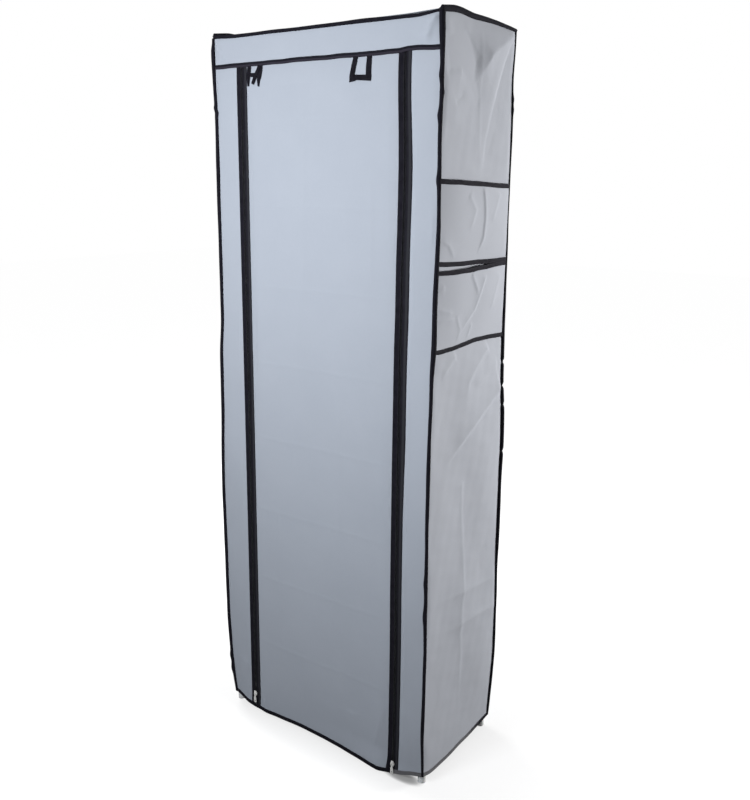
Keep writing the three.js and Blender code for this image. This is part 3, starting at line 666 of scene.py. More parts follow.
# zips: tapes, coil teeth and stitching
zipSize = {"tapeWidth": 13.8, "doorTapeWidth": 14.6, "tapeThickness": 0.7, "tapeGap": 0.6, "groove": 0.14,
           "coilGap": 0.5, "coilWidth": 2.5, "coilRise": 1.35, "coilOut": 0.45, "thread": 0.42, "pitch": 1.7,
           "seamIn": 2.0, "top": 1536,
           "rightSpread": [(620, 1), (760, 1.22), (1330, 1.22), (1430, 1)]}
bands = [(door["upperCut"], zipSize["top"]), (door["lowerCut"], door["upperCut"]), (None, door["lowerCut"])]
doorTapes, fixedTapes = [], []


def zipHalf(side, toward, low, high, tag):
    # toward is -1 for the door's half and 1 for the outer half
    width = zipSize["doorTapeWidth" if toward < 0 else "tapeWidth"]
    centreLine = tuckedLine(side * zipCentre, low, high, 0.0)
    z, spread = centreLine[:, 2], np.ones(len(centreLine))
    if side > 0 and toward > 0:
        spread = smoothTable(zipSize["rightSpread"], 20)(z)
    aside = zipSize["tapeGap"] + width * spread / 2
    edges = [frontY(side * (zipCentre + toward * aside) + half * width * spread / 2, z) for half in (-1, 1)]
    across = right + back * ((edges[1] - edges[0]) / (width * spread))[:, None]
    centreLine[:, 0] += side * toward * aside
    centreLine[:, 1] += (edges[0] + edges[1]) / 2 - frontY(side * zipCentre, z)
    tapeShape = tapeProfile(width, zipSize["tapeThickness"], zipSize["groove"], (-4.2, 4.2))
    tape = sweptPiece("zipTape" + tag, zipTapeHighlit if side * toward > 0 else bindingTape,
                      [sweptShape(centreLine, across * spread[:, None], front, tapeShape)])
    coilAt = side * (zipCentre + toward * (zipSize["coilGap"] + zipSize["coilWidth"] / 2))
    coil = strandPiece("zipCoil" + tag, [tuckedLine(coilAt, low + 1, high, zipSize["coilOut"])], front, coilNylon,
                       Spacing=zipSize["pitch"] / 1000, Reach=zipSize["coilWidth"] / 1000 - 2e-4,
                       Rise=zipSize["coilRise"] / 1000, Thread=zipSize["thread"] / 1000,
                       Turn=math.radians(90 - 9 * side * toward), Sink=0.0001)
    inset = side * toward * (width * spread / 2 - zipSize["seamIn"])
    seamLine = (centreLine + front * 0.35 + across * inset[:, None])[1:-1]
    return tape, coil, stitchedSeam("zipSeam" + tag, [seamLine], front)


for sideName, side in (("Left", -1), ("Right", 1)):
    bottom = float(hemAt(side * zipCentre)) + 7.5
    tape, coil, seam = zipHalf(side, 1, bottom, zipSize["top"], "Outer" + sideName)
    sewn(tape, "rack_and_cover", "zip_tape", "zip_tape_" + sideName.lower())
    sewn(coil, "rack_and_cover", "zip_tape", "zip_tape_" + sideName.lower())
    sewn(seam, "rack_and_cover", "black_binding")
    fixedTapes.append([tape, coil, seam])
    for index, (low, high) in enumerate(bands):
        tag = ("Top", "Middle", "Lower")[index] + sideName
        trio = zipHalf(side, -1, bottom if low is None else low, high, tag)
        node = doorNodes[index] if index < 2 else ("door_tape_" + sideName.lower(),)
        for piece, slotName in zip(trio, ("zip_tape", "zip_tape", "black_binding")):
            bent(piece, index, slotName, *(node if piece is not trio[2] else ()))
        doorTapes.append((index, trio))
print("zips made")


# hems: one folded tape round the lower edge, in lengths
hemSize = {"up": 5, "proud": 0.5, "wander": 0.3, "stitchOut": 0.8925, "stitchUp": 3.0}
hemShape = tapeProfile(10, 2, 0.25, (3.2,))
hemRipple = smoothNoise(31, 60)


def hemPiece(name, path, outward, body, node, paint=bindingTape, shape=hemShape):
    piece = sweptPiece(name, paint, [sweptShape(path, up, outward, shape)])
    raised = path + outward * hemSize["stitchOut"] + up * hemSize["stitchUp"]
    seam = stitchedSeam(name + "Seam", [raised[1:-1]], outward)
    return sewn(piece, body, "black_binding", node), sewn(seam, body, "black_binding")


def hemHeight(clothEdge, along, seed=0.0):
    return clothEdge(along) + hemSize["up"] + hemSize["wander"] * hemRipple(along, seed)


def frontHemPath(fromX, toX, clothOut):
    x = np.linspace(fromX, toX, max(3, round(abs(toX - fromX) / 4)) + 1)
    z = hemHeight(hemAt, x)
    return np.stack([frontX(x, z), frontY(x, z) - clothOut(x, z) - hemSize["proud"], z], 1)


zipEdge = zipCentre - 0.8
doorHem = hemPiece("doorHem", frontHemPath(-zipEdge, zipEdge, doorOut), front, "door_lower", "door_hem")

# sides, back, top and strips
# first the side's lower edge, and how much higher its top edge stands than the rack
sideHemAt = smoothTable([(-142, 22), (-113, 14.5), (-84, 13.2), (-51, 12.2), (-17, 14.2), (10, 16.6), (35, 17.3),
                         (64, 17.9), (86, 20.2), (142, 23.5)])
topRise = smoothTable([(-142, 1.5), (-125, 4), (-98, 7.4), (-74, 7.8), (-31, 4.6), (15, 5), (64, 4.9), (115, 3),
                       (142, 1.5)])

panel = {
    "low": -0.4, "out": 9, "rightOut": 15, "clothTop": 1595.5, "sideSwell": 1.2, "backSwell": 1.6,
    "halfX": 285, "halfY": 140.5, "clothHeight": 1575,
    # places are (y, z) on the sides and (x, z) on the back and the strips
    "rightFolds": [
        ([(140, 1594), (114, 1561), (93, 1509), (71, 1461), (51, 1404), (14, 1304)], -4.2, 26, 5),
        ([(137, 1594), (84, 1566), (30, 1538), (13, 1514), (-18, 1482)], 13.0, 28, 48),
        ([(-23, 1480), (-12, 1458), (-1, 1441)], -3.0, 7, 4),
        ([(-125, 1492), (-106, 1503), (-88, 1517)], -1.4, 8, 5),
        ([(-92, 1442), (-54, 1467)], -1.2, 9, 6),
        ([(-58, 1535), (3, 1513)], -3.0, 16, 22),
        ([(-98, 1560), (-95, 1530), (-94, 1490)], -5.5, 26, 20),
        ([(-4, 1580), (4, 1450), (12, 1300)], 0.7, 4, 9),
        ([(140, 857), (52, 813), (-1, 782), (-91, 721)], 5.2, 4, 24),
        ([(118, 913), (46, 885), (14, 880)], 1.8, 6, 14),
        ([(74, 956), (27, 922), (-3, 894), (-11, 852)], 2.6, 8, 18),
        ([(-59, 957), (-92, 931), (-110, 908)], 2.2, 7, 14),
        ([(137, 401), (1, 412), (-107, 425)], 3.0, 16, 22),
        ([(143, 329), (46, 337), (-82, 339)], 3.4, 20, 14),
        ([(-16, 679), (-9, 562), (2, 436), (-4, 376), (-10, 316), (-1, 258), (0, 40)], 1.1, 4, 9),
        ([(-144, 223), (-112, 199), (-90, 170)], -2.6, 8, 5),
        ([(-132, 1590), (-110, 1552), (-84, 1530)], 0.8, 7, 12)],
    "leftFolds": [
        ([(137, 1590), (70, 1500), (20, 1380)], 6.5, 7, 26), ([(-137, 1590), (-60, 1480), (-20, 1350)], 5.0, 7, 22),
        ([(4, 1560), (-6, 900), (2, 60)], 2.2, 6, 14), ([(-136, 1010), (-20, 960), (120, 880)], 2.6, 8, 20),
        ([(130, 560), (10, 520), (-120, 500)], 2.2, 9, 18), ([(-130, 250), (-40, 215), (90, 200)], 1.8, 9, 16)],
    "backFolds": [
        ([(-270, 1585), (-150, 1430), (-40, 1330)], 6.5, 8, 30), ([(272, 1585), (140, 1450), (60, 1300)], 6.0, 8, 28),
        ([(-3, 1570), (5, 900), (-2, 60)], 2.4, 6, 14),
        ([(-275, 1040), (-90, 1000), (110, 930), (270, 905)], 2.6, 9, 22),
        ([(270, 560), (60, 520), (-180, 505)], 2.4, 9, 20), ([(-260, 260), (-60, 215), (160, 205)], 2.0, 9, 18)],
    "stripFolds": [
        ([(283, 1268), (277, 1228), (275, 1170)], 1.3, 2.5, 7), ([(232, 180), (262, 20)], 1.8, 9, 14),
        ([(-236, 130), (-272, 34)], 1.8, 8, 14)],
    "stripEdge": 10.6,
}
sideSlack, sideFine, leftSlack, backSlack, topSlack, stripSlack = (
    smoothNoise(*wave) for wave in ((21, 150), (22, 46), (23, 150), (24, 190), (25, 160), (26, 120)))


def heldAt(across, half, reach, z):
    # 0 where the cloth is sewn down, at its upright edges and its top
    return ease((half - np.abs(across)) / reach) * ease((cover["sewnTop"] - z) / 22)


def hemSwell(height, across, half, z):
    return height * (1 - (across / half) ** 2) * ease((90 - z) / 90)


def sideOut(y, z):
    out = 1.1 * (1 + sideSlack(y, 0.6 * z)) + 0.22 * sideFine(y, z)
    out = addFolds(out, y, z, panel["rightFolds"], fades=(0.02, 0.4))
    behindPockets = ease((z - 955) / 30) * ease((1330 - z) / 34)
    out = out * heldAt(y, 141, 16, z) * (1 - 0.97 * behindPockets)
    limit = between(panel["out"], panel["rightOut"], ease((z - 1330) / 100))
    aboveHem = between(0.35, 1, ease((z - sideHemAt(y) - 4) / 60))
    return np.clip(out, panel["low"], limit) * aboveHem + hemSwell(panel["sideSwell"], y, halfDepth, z)


def leftOut(y, z):
    out = addFolds(0.7 * (1 + leftSlack(y, 0.6 * z)), y, z, panel["leftFolds"], fades=(0.04, 0.4))
    return (np.clip(out, panel["low"], panel["out"]) * heldAt(y, 141, 16, z)
            + hemSwell(panel["sideSwell"], y, halfDepth, z))


def sidePlace(side, clothOut):
    def place(u, v):
        y = side * between(-panel["halfY"], panel["halfY"], u)
        z = between(sideHemAt(y) + 3, panel["clothTop"], v)
        x = side * (halfWidth + clothOut(y, z)) + sidewaysBow(side * halfWidth, y, z)
        return x, y + forwardBow(side * halfWidth, y, z), z + topRise(y) * ease((z - 1480) / 115)
    return place


sideSize = (2 * panel["halfY"], panel["clothHeight"])
rightPanel = clothPiece("rightPanel", sidePlace(1, sideOut), sideSize, sideCloth, 3.6)
leftPanel = clothPiece("leftPanel", sidePlace(-1, leftOut), sideSize, sideCloth)


def backHemAt(x):
    return 21.5 - 9 * (1 - (x / halfWidth) ** 2)


def backOut(x, z):
    out = addFolds(1 + backSlack(x, 0.6 * z), x, z, panel["backFolds"], fades=(0.04, 0.4))
    return (np.clip(out, panel["low"], panel["out"]) * heldAt(x, 286, 18, z)
            + hemSwell(panel["backSwell"] * np.sin(x / 60) ** 2, x, halfWidth, z))


def backPlace(u, v):
    x = between(panel["halfX"], -panel["halfX"], u)
    z = between(backHemAt(x) + 3, panel["clothTop"], v)
    return x + sidewaysBow(x, halfDepth, z), halfDepth + backOut(x, z), z


backPanel = clothPiece("backPanel", backPlace, (2 * panel["halfX"], panel["clothHeight"]), coverCloth, 5.5)


def topPlace(u, v):
    x, y = between(-panel["halfX"], panel["halfX"], u), between(-panel["halfY"], panel["halfY"], v)
    seam = ease((286 - np.abs(x)) / 40) * ease((141.5 - np.abs(y)) / 40)
    dip = 1.6 + 1.1 * topSlack(x, y) - 1.2 * crease(x, y, [(-270, -130), (-90, 20), (30, 90)], 1, 14, 30)
    return x, y, 1597.6 - seam * (dip + 0.6) + topRise(y) * ease((np.abs(x) - 205) / 80)


topPanel = clothPiece("topPanel", topPlace, (2 * panel["halfX"], 2 * panel["halfY"]), coverCloth, 5.0)


def pastTape(x):
    return np.abs(x) - zipCentre - panel["stripEdge"]


def stripOut(x, z):
    seam = ease(pastTape(x) / 18) * ease((286 - np.abs(x)) / 14) * ease((1533 - z) / 30)
    out = seam * (0.9 + 0.9 * stripSlack(x, 0.5 * z + 300 * np.sign(x)))
    return addFolds(out, x, z, panel["stripFolds"], seam)


def stripPlace(side):
    def place(u, v):
        x = between(*sorted((side * (zipCentre + panel["stripEdge"]), side * 285.2)), u)
        z = between(hemAt(x) + 3, 1537, v)
        tuck = 0.9 * ease((10.5 - pastTape(x)) / 4) + tuckAt(z)
        return frontX(x, z), frontY(x, z) + tuck - stripOut(x, z), z
    return place


stripCloths = [clothPiece("stripCloth" + name, stripPlace(side), (64.6, 1525), coverCloth, 4.0)
               for name, side in (("Left", -1), ("Right", 1))]


# the hems of the strips, the sides and the back lie on their cloth
def coverHem(name, path, outward, paint=bindingTape):
    return hemPiece(name, path, outward, "rack_and_cover", "edge_binding", paint)


def sidePath(side, clothOut):
    y = np.linspace(-141, 141, 72)
    z = hemHeight(sideHemAt, y, 9)
    x = side * (halfWidth + hemSize["proud"] + clothOut(y, z)) + sidewaysBow(side * halfWidth, y, z)
    return np.stack([x, y + forwardBow(side * halfWidth, y, z), z], 1)


stripHems = [coverHem("stripHemLeft", frontHemPath(-286, -zipEdge - 1.6, stripOut), front),
             coverHem("stripHemRight", frontHemPath(zipEdge + 1.6, 286, stripOut), front, hemTape)]
sideHems = [coverHem("sideHemRight", sidePath(1, sideOut), right, hemTape),
            coverHem("sideHemLeft", sidePath(-1, leftOut)[::-1], -right)]
backX = np.linspace(286, -286, 115)
backZ = hemHeight(backHemAt, backX, 19)
backPath = np.stack([backX + sidewaysBow(backX, halfDepth, backZ),
                     halfDepth + hemSize["proud"] + backOut(backX, backZ), backZ], 1)
backHem = coverHem("backHem", backPath, back)

# valance over the top of the door, and its bound edge
valance = {"clothOut": 142.9, "low": 1536.5, "bindingHeight": 9.4, "bindingThickness": 3.0,
           "binding": [(-287, 1535.9), (0, 1535.6), (150, 1534.7), (198, 1534.7), (214, 1537.2), (245, 1537.1),
                       (287, 1535.2)],
           "pulls": [([(285, 1594), (271, 1577), (259, 1549), (255, 1541)], 6.5, 6, 16),
                     ([(-262, 1547), (-274, 1571), (-283, 1594)], 2.6, 5, 9)]}
valanceSlack = smoothNoise(41, 130)


def valancePlace(u, v):
    x = between(-panel["halfX"], panel["halfX"], u)
    z = between(valance["low"], panel["clothTop"], v)
    seam = ease((286 - np.abs(x)) / 8) * ease((cover["sewnTop"] - z) / 12)
    out = addFolds(0.9 + 0.8 * valanceSlack(x, z), x, z, valance["pulls"], fades=(0.05, 0.3))
    return x, -valance["clothOut"] - np.clip(out, 0, 8) * seam * ease((z - 1534) / 14), z


valanceSize = (2 * panel["halfX"], panel["clothTop"] - valance["low"])
valanceCloth = clothPiece("valanceCloth", valancePlace, valanceSize, coverCloth, 3.6)
valanceX = np.linspace(-285.5, 285.5, 120)
valanceRipple = smoothNoise(42, 70)
valanceLine = np.stack([valanceX, -143.3 - 0.25 * valanceRipple(valanceX, 5),
                        smoothTable(valance["binding"], 4)(valanceX) + 0.45 * valanceRipple(valanceX)], 1)
valanceShape = tapeProfile(valance["bindingHeight"], valance["bindingThickness"], 0.3, (2.4,))
valanceBinding = sweptPiece("valanceBinding", valanceTape, [sweptShape(valanceLine, up, front, valanceShape)])
valanceSeam = stitchedSeam("valanceSeam", [valanceLine[1:-1] + front * 1.35 + up * 2.4], front)

# piping round the eight top and upright edges, with a knot at each top corner and the knuckles where the cover is
# pulled over its rack
piping = {
    "radius": 3.8, "wobble": 0.35, "step": 4.0, "stand": (287.4, 142.4),
    "low": {"frontRight": 24.0, "frontLeft": 22.0, "backRight": 27.0, "backLeft": 25.0},
    # how thick each upright is against that radius, at heights up the corner
    "thick": {
        "frontRight": [(20, 0.7), (75, 0.75), (140, 1.0), (900, 1.0), (980, 1.25), (1130, 1.3), (1230, 1.05),
                       (1480, 0.95), (1525, 1.2), (1560, 1.45), (1597, 1.5)],
        "frontLeft": [(20, 1.2), (1570, 1.3), (1586, 0.8), (1597, 0.85)],
        "backRight": [(20, 1.1), (440, 1.15), (520, 1.45), (960, 1.45), (1060, 1.15), (1180, 0.9), (1230, 0.65),
                      (1597, 0.6)],
        "backLeft": [(20, 1.0), (1597, 1.0)],
    },
    # (corner, height, reach, how much thicker, how far it shifts)
    "knuckles": [
        ("frontRight", 1486, 12, 0.35, -1.7), ("frontRight", 1457, 8, 0.25, 1.0),
        ("frontRight", 1417, 11, 0.30, -1.8), ("frontRight", 1302, 12, 0.30, -1.5),
        ("frontRight", 487, 14, 0.2, -1.3), ("frontRight", 411, 18, 0.2, -1.6),
        ("frontLeft", 1441, 5, 0.3, -1.5), ("frontLeft", 1452, 5, 0.1, 1.2),
        ("frontLeft", 118, 12, 0.25, 1.4), ("frontLeft", 84, 14, 0.3, 1.8),
        ("backRight", 1466, 8, 0.25, 0.6), ("backRight", 1445, 8, 0.25, 0.5),
        ("backRight", 913, 4, -0.45, -1.2), ("backRight", 859, 4, -0.5, -1.4),
        ("backRight", 816, 4, -0.3, -0.8), ("backRight", 707, 4, -0.35, -1.0)],
    "sideTop": [(-142, 1.6), (-98, 1.7), (-40, 1.55), (60, 1.2), (142, 0.9)],
    "frontSag": [(-287, 0), (-262, -1.4), (-235, -3.0), (-120, -3.2), (0, -3.6), (150, -4.6), (240, -5.2),
                 (262, -3.2), (278, -0.8), (287, 0)],
}
pipeWobble, pipeProfile = smoothNoise(51, 75), roundProfile(piping["radius"], 14)


def uprightPipe(cornerName, sideX, sideY, seed):
    z = np.arange(piping["low"][cornerName], cover["top"], piping["step"])
    shift = piping["wobble"] * pipeWobble(z, seed)
    thick = np.interp(z, *zip(*piping["thick"][cornerName])) * (1 + 0.07 * pipeWobble(z, seed + 200))
    for corner, height, reach, thicker, push in piping["knuckles"]:
        if corner == cornerName:
            bump = np.exp(-((z - height) / reach) ** 2)
            shift, thick = shift + push * bump, thick + thicker * bump
    inward = (-5.0 if cornerName == "frontLeft" else -1.0) * ease((60 - z) / 48)
    edge = (sideX * halfWidth, sideY * halfDepth, z)
    x = sideX * (piping["stand"][0] + shift + inward) + sidewaysBow(*edge)
    y = sideY * (piping["stand"][1] + 0.4 * shift) + forwardBow(*edge)
    diagonal, crossing = (np.array(way) / math.sqrt(2) for way in ((sideX, sideY, 0), (-sideY, sideX, 0)))
    return sweptShape(np.stack([x, y, z], 1), diagonal, crossing, pipeProfile, thick)


pipes = [uprightPipe("frontRight", 1, -1, 3), uprightPipe("frontLeft", -1, -1, 60),
         uprightPipe("backRight", 1, 1, 120), uprightPipe("backLeft", -1, 1, 180)]
edgeX = np.arange(-287.0, 288.0, piping["step"])
edgeY = np.arange(-142.0, 143.0, piping["step"])
for sideY in (-1, 1):
    sag = smoothTable(piping["frontSag"])(edgeX) if sideY < 0 else -2.0 * ease((halfWidth - np.abs(edgeX)) / 40)
    line = np.stack([edgeX, sideY * (piping["stand"][1] + 0.3 * pipeWobble(edgeX, 7)),
                     1597.3 + 0.45 * pipeWobble(edgeX, 330 + sideY) + sag], 1)
    diagonal, crossing = (np.array(way) / math.sqrt(2) for way in ((0, sideY, 1), (0, 1, -sideY)))
    pipes.append(sweptShape(line, diagonal, crossing, pipeProfile, 1 + 0.08 * pipeWobble(edgeX, 77)))
for sideX in (-1, 1):
    # the side's piping stands tall at the front corner and thins out towards the back
    tall = np.interp(edgeY, *zip(*piping["sideTop"]))
    line = np.stack([sideX * (piping["stand"][0] + 0.3 * pipeWobble(edgeY, 9)), edgeY,
                     1597.6 + topRise(edgeY) + 0.4 * pipeWobble(edgeY, 400)], 1)
    pipes.append(sweptShape(line, up * tall[:, None], np.array((sideX, 0, 0)), pipeProfile))
for sideX, sideY, size in ((1, -1, 5.6), (-1, -1, 3.6), (1, 1, 3.4), (-1, 1, 3.8)):
    corner = np.array((sideX * 287.3, sideY * 142.3, 1597.2))
    tip = corner + np.array((sideX * 1.6, sideY * 1.6, 1.4))
    knot = alongLine([corner - (tip - corner) * 1.6, corner, tip], 1.0)
    swell = size / piping["radius"] * np.sqrt(np.clip(1 - (np.linspace(-1, 1, len(knot))) ** 2, 0.12, 1))
    direction = unit(tip - corner)
    sideways = unit(np.cross(direction, up))
    pipes.append(sweptShape(knot, sideways, np.cross(direction, sideways), roundProfile(piping["radius"]),
                            swell))
edgePiping = sewn(sweptPiece("edgePiping", bindingTape, pipes), "rack_and_cover", "black_binding",
                  "edge_binding")
print("piping made")

# side pockets
pocket = {
    # heights of the middle of each binding, from front to back
    "mouths": [[(-142, 1299.5), (-71, 1298), (4, 1295.5), (65, 1293.3), (134, 1291)],
               [(-142, 1129), (-98, 1126.8), (-51, 1126.9), (-3, 1128.2), (47, 1129.5), (94, 1131.2),
                (135, 1131.4)]],
    "bases": [[(-142, 1146), (-72, 1142.1), (-1, 1140.8), (81, 1139.2), (141, 1137.9)],
              [(-142, 975), (-123, 973.2), (-63, 974.1), (-14, 978.3), (36, 979.2), (84, 977.4), (139, 974.5)]],
    "stand": 288.6, "half": 139.2, "sewnHalf": 139, "bulge": [7.2, 6.4],
    # a narrow flank towards the front draws a dark line, one towards the back a light line
    "creases": [
        [([(16, 1292), (26, 1256), (30, 1223), (27, 1189), (7, 1151)], 2.4, 10, 2.6),
         ([(-137, 1189), (-110, 1181), (-81, 1151)], 1.6, 8, 3),
         ([(-42, 1276), (-12, 1245), (-33, 1201)], 1.6, 7, 9),
         ([(92, 1280), (60, 1215)], 1.2, 8, 14)],
        [([(-17, 1120), (15, 1073)], 2.0, 9, 3),
         ([(43, 1116), (16, 1068), (2, 1045), (-58, 1002)], 2.2, 2.8, 10),
         ([(-141, 1095), (-112, 1101)], 1.2, 3, 6),
         ([(-139, 1058), (-80, 1046)], 1.4, 3, 7),
         ([(-138, 1032), (-102, 1035), (-69, 1031)], 1.2, 3, 6),
         ([(-70, 1040), (-54, 1009), (-66, 981)], 1.3, 6, 5),
         ([(-6, 1018), (-23, 985)], 1.2, 5, 4),
         ([(110, 1112), (70, 1030)], 1.2, 8, 14)],
    ],
}
pocketSlack = smoothNoise(61, 90)
pocketShape = tapeProfile(9.6, 2.2, 0.25, (2.6,))


def pocketArch(y):
    return 1 - np.abs(y / pocket["sewnHalf"]) ** 3.2


def pocketOut(index, y, share):
    return pocket["bulge"][index] * pocketArch(y) * (1 - (1 - np.clip(share, 0, 1)) ** 2)


def pocketFolds(index, y, z, share):
    held = ease((pocket["sewnHalf"] - np.abs(y)) / 20) * ease(share / 0.12)
    return held * addFolds(0, y, z, pocket["creases"][index], edge=1.0, fades=(0.1, 0.3))


pocketNodes = {"UpperMouth": "pocket_binding_top", "UpperBase": "pocket_binding_middle",
               "LowerMouth": "pocket_binding_middle", "LowerBase": "pocket_binding_bottom"}
pocketCloths, pocketBands = [], []
for index, name in enumerate(("Upper", "Lower")):
    mouth, base = (smoothTable(pocket[edge][index], 8) for edge in ("mouths", "bases"))

    def pocketPlace(u, v, index=index, mouth=mouth, base=base):
        y = between(-pocket["half"], pocket["half"], u)
        z = between(base(y) - 1.5, mouth(y) + 2, v)
        soft = 0.35 * (1 + pocketSlack(y, z)) * ease((pocket["sewnHalf"] - np.abs(y)) / 14) * ease(v / 0.1)
        out = pocketOut(index, y, v) + soft
        x = pocket["stand"] + out + pocketFolds(index, y, z, v) + sidewaysBow(halfWidth, y, z)
        return x, y + forwardBow(halfWidth, y, z), z

    cloth = clothPiece("pocketCloth" + name, pocketPlace, (278.4, 162), sideCloth, 2.6)
    sewn(cloth, "rack_and_cover", "cover_cloth", "pocket_" + name.lower())
    pocketCloths.append(cloth)
    y = np.linspace(-pocket["half"], pocket["half"], 90)
    for edgeName, middle, share in (("Mouth", mouth, 1.0), ("Base", base, 0.0)):
        z = middle(y) + 0.35 * hemRipple(y, 40 * index)
        x = pocket["stand"] + pocketOut(index, y, share) + (0.35 if share else 0.6)
        x = x + sidewaysBow(halfWidth, y, z)
        if share:
            x = x + 0.7 * pocketFolds(index, y, z, share)
        if (name, edgeName) == ("Upper", "Base"):
            x = x + 4.5 * ease((y - 10) / 80) * pocketArch(y)
        path = np.stack([x, y + forwardBow(halfWidth, y, z), z], 1)
        pocketBands.append((index, *hemPiece("pocket" + edgeName + name, path, right, "rack_and_cover",
                                             pocketNodes[name + edgeName], shape=pocketShape)))
print("pockets made")


# rack: tubes, brackets and shelf cloths
rack = {
    "postX": 277, "postY": 132, "first": 26, "last": 1585, "levels": 10, "tubeRadius": 6.5, "tubeWall": 0.6,
    "barrelRadius": 9, "barrelHeight": 22, "socketReach": 22, "bore": 6.75, "rise": 8, "capWall": 3,
    "barThickness": 7, "barHeight": 15, "barFlange": 2.2, "barWeb": 2.4, "ribs": (-66, -22, 22, 66),
    "railHalf": 264, "postGap": 0.4, "postBelow": 20, "rolled": 0.2, "tubeSides": 24,
    # the ribs' half thickness, how far the end pockets stop short of the posts, and the rounding of the edges
    "ribHalf": 0.8, "ribEnd": 11.2, "eased": 0.55,
}
levels = [between(rack["first"], rack["last"], level / (rack["levels"] - 1)) for level in range(rack["levels"])]


def tubePiece(name, start, end, node):
    # a thin tube with its ends rolled over, drawn as one closed skin
    start, end = np.array(start, float), np.array(end, float)
    length = np.linalg.norm(end - start)
    way, outer, inner = (end - start) / length, rack["tubeRadius"], rack["tubeRadius"] - rack["tubeWall"]
    across = np.array((0, 1, 0.0)) if abs(way[1]) < 0.5 else np.array((1.0, 0, 0))
    rolled = rack["rolled"]
    lip = [(0.3, inner), (0.0, inner + rolled), (0.0, outer - rolled), (0.3, outer)]
    rings = lip + [(length - at, radius) for at, radius in lip[::-1]]
    sides, count = rack["tubeSides"], len(rings)
    turn = np.linspace(0, 2 * math.pi, sides, endpoint=False)
    circle = np.cos(turn)[:, None] * across + np.sin(turn)[:, None] * np.cross(way, across)
    points = np.concatenate([start + way * at + circle * radius for at, radius in rings])
    faces = [[ring * sides + side, ring * sides + (side + 1) % sides,
              (ring + 1) % count * sides + (side + 1) % sides, (ring + 1) % count * sides + side]
             for ring in range(count) for side in range(sides)]
    return sewn(meshObject(name, points, faces, tubeCoat, None, 40), "rack_and_cover", "frame_tube", node)


for yName, y, node in (("Front", -rack["postY"], "front_ladder"), ("Back", rack["postY"], "back_ladder")):
    for xName, x in (("Left", -rack["postX"]), ("Right", rack["postX"])):
        for level in range(rack["levels"] - 1):
            low = levels[level] + (rack["postGap"] if level else -rack["postBelow"])
            high = levels[level + 1] - rack["postGap"]
            tubePiece(f"post{yName}{xName}{level + 1:02d}", (x, y, low), (x, y, high), node)
    for level, z in enumerate(levels):
        tubePiece(f"rail{yName}{level + 1:02d}", (-rack["railHalf"], y, z), (rack["railHalf"], y, z), node)


def rawCylinder(shell, radius, centre, axis, length, sides=32):
    made = bmesh.ops.create_cone(shell, cap_ends=True, segments=sides, radius1=radius, radius2=radius,
                                 depth=length)
    for corner in made["verts"]:
        x, y, z = corner.co
        corner.co = Vector((z, y, -x) if axis == "x" else (x, y, z)) + Vector(centre)


def rawBlock(shell, low, high):
    made = bmesh.ops.create_cube(shell, size=1)
    for corner in made["verts"]:
        corner.co = Vector([between(low[axis], high[axis], corner.co[axis] + 0.5) for axis in range(3)])


def shellObject(name, shell):
    mesh = bpy.data.meshes.new(name)
    shell.to_mesh(mesh)
    shell.free()
    return linked(name, mesh)


def carve(name, body, tools, bevel, segments=2):
    # body minus tools, with every hard edge eased; the result stays in mm, as its places and faces
    whole, cutter = shellObject(name, body), shellObject(name + "Cut", tools or bmesh.new())
    joined = whole.modifiers.new("cut", "BOOLEAN")
    joined.operation, joined.solver, joined.use_self = "DIFFERENCE" if tools else "UNION", "EXACT", True
    joined.object = cutter
    soften = whole.modifiers.new("soften", "BEVEL")
    soften.width, soften.segments, soften.limit_method = bevel, segments, "ANGLE"
    soften.angle_limit, soften.use_clamp_overlap = math.radians(35), True
    mesh = shapedMesh(whole)
    bpy.data.objects.remove(cutter)
    corners = np.zeros(len(mesh.vertices) * 3)
    mesh.vertices.foreach_get("co", corners)
    return corners.reshape(-1, 3), [list(face.vertices) for face in mesh.polygons]


def bracketMesh(kind):
    # drawn for the right side with its level at z 0
    x, y, half = rack["postX"], rack["postY"], rack["barHeight"] / 2
    low = -levels[0] if kind == "foot" else -rack["barrelHeight"] / 2
    high = rack["rise"] if kind == "cap" else rack["barrelHeight"] / 2
    boreLow = low + rack["capWall"] if kind == "foot" else low - 1
    boreHigh = high - rack["capWall"] if kind == "cap" else high + 1
    body, tools = bmesh.new(), bmesh.new()
    thick, reach = rack["barThickness"] / 2, rack["socketReach"]
    rawBlock(body, (x - thick, -y, -half), (x + thick, y, half))
    for sideY in (-y, y):
        rawCylinder(body, rack["barrelRadius"], (x, sideY, (low + high) / 2), "z", high - low)
        rawCylinder(body, rack["barrelRadius"] - 0.02, (x - reach / 2, sideY, 0), "x", reach)
        rawCylinder(tools, rack["bore"], (x, sideY, (boreLow + boreHigh) / 2), "z", boreHigh - boreLow)
        rawCylinder(tools, rack["bore"] - 0.02, (x - (reach + 1) / 2, sideY, 0), "x", reach + 1)
    ribs = (-y + rack["ribEnd"], *rack["ribs"], y - rack["ribEnd"])
    for sign in (-1, 1):
        outer, inner = x + sign * (thick + 1), x + sign * rack["barWeb"] / 2
        for start, end in zip(ribs[:-1], ribs[1:]):
            rawBlock(tools, (min(outer, inner), start + rack["ribHalf"], -half + rack["barFlange"]),
                     (max(outer, inner), end - rack["ribHalf"], half - rack["barFlange"]))
    return carve("bracket" + kind, body, tools, rack["eased"])


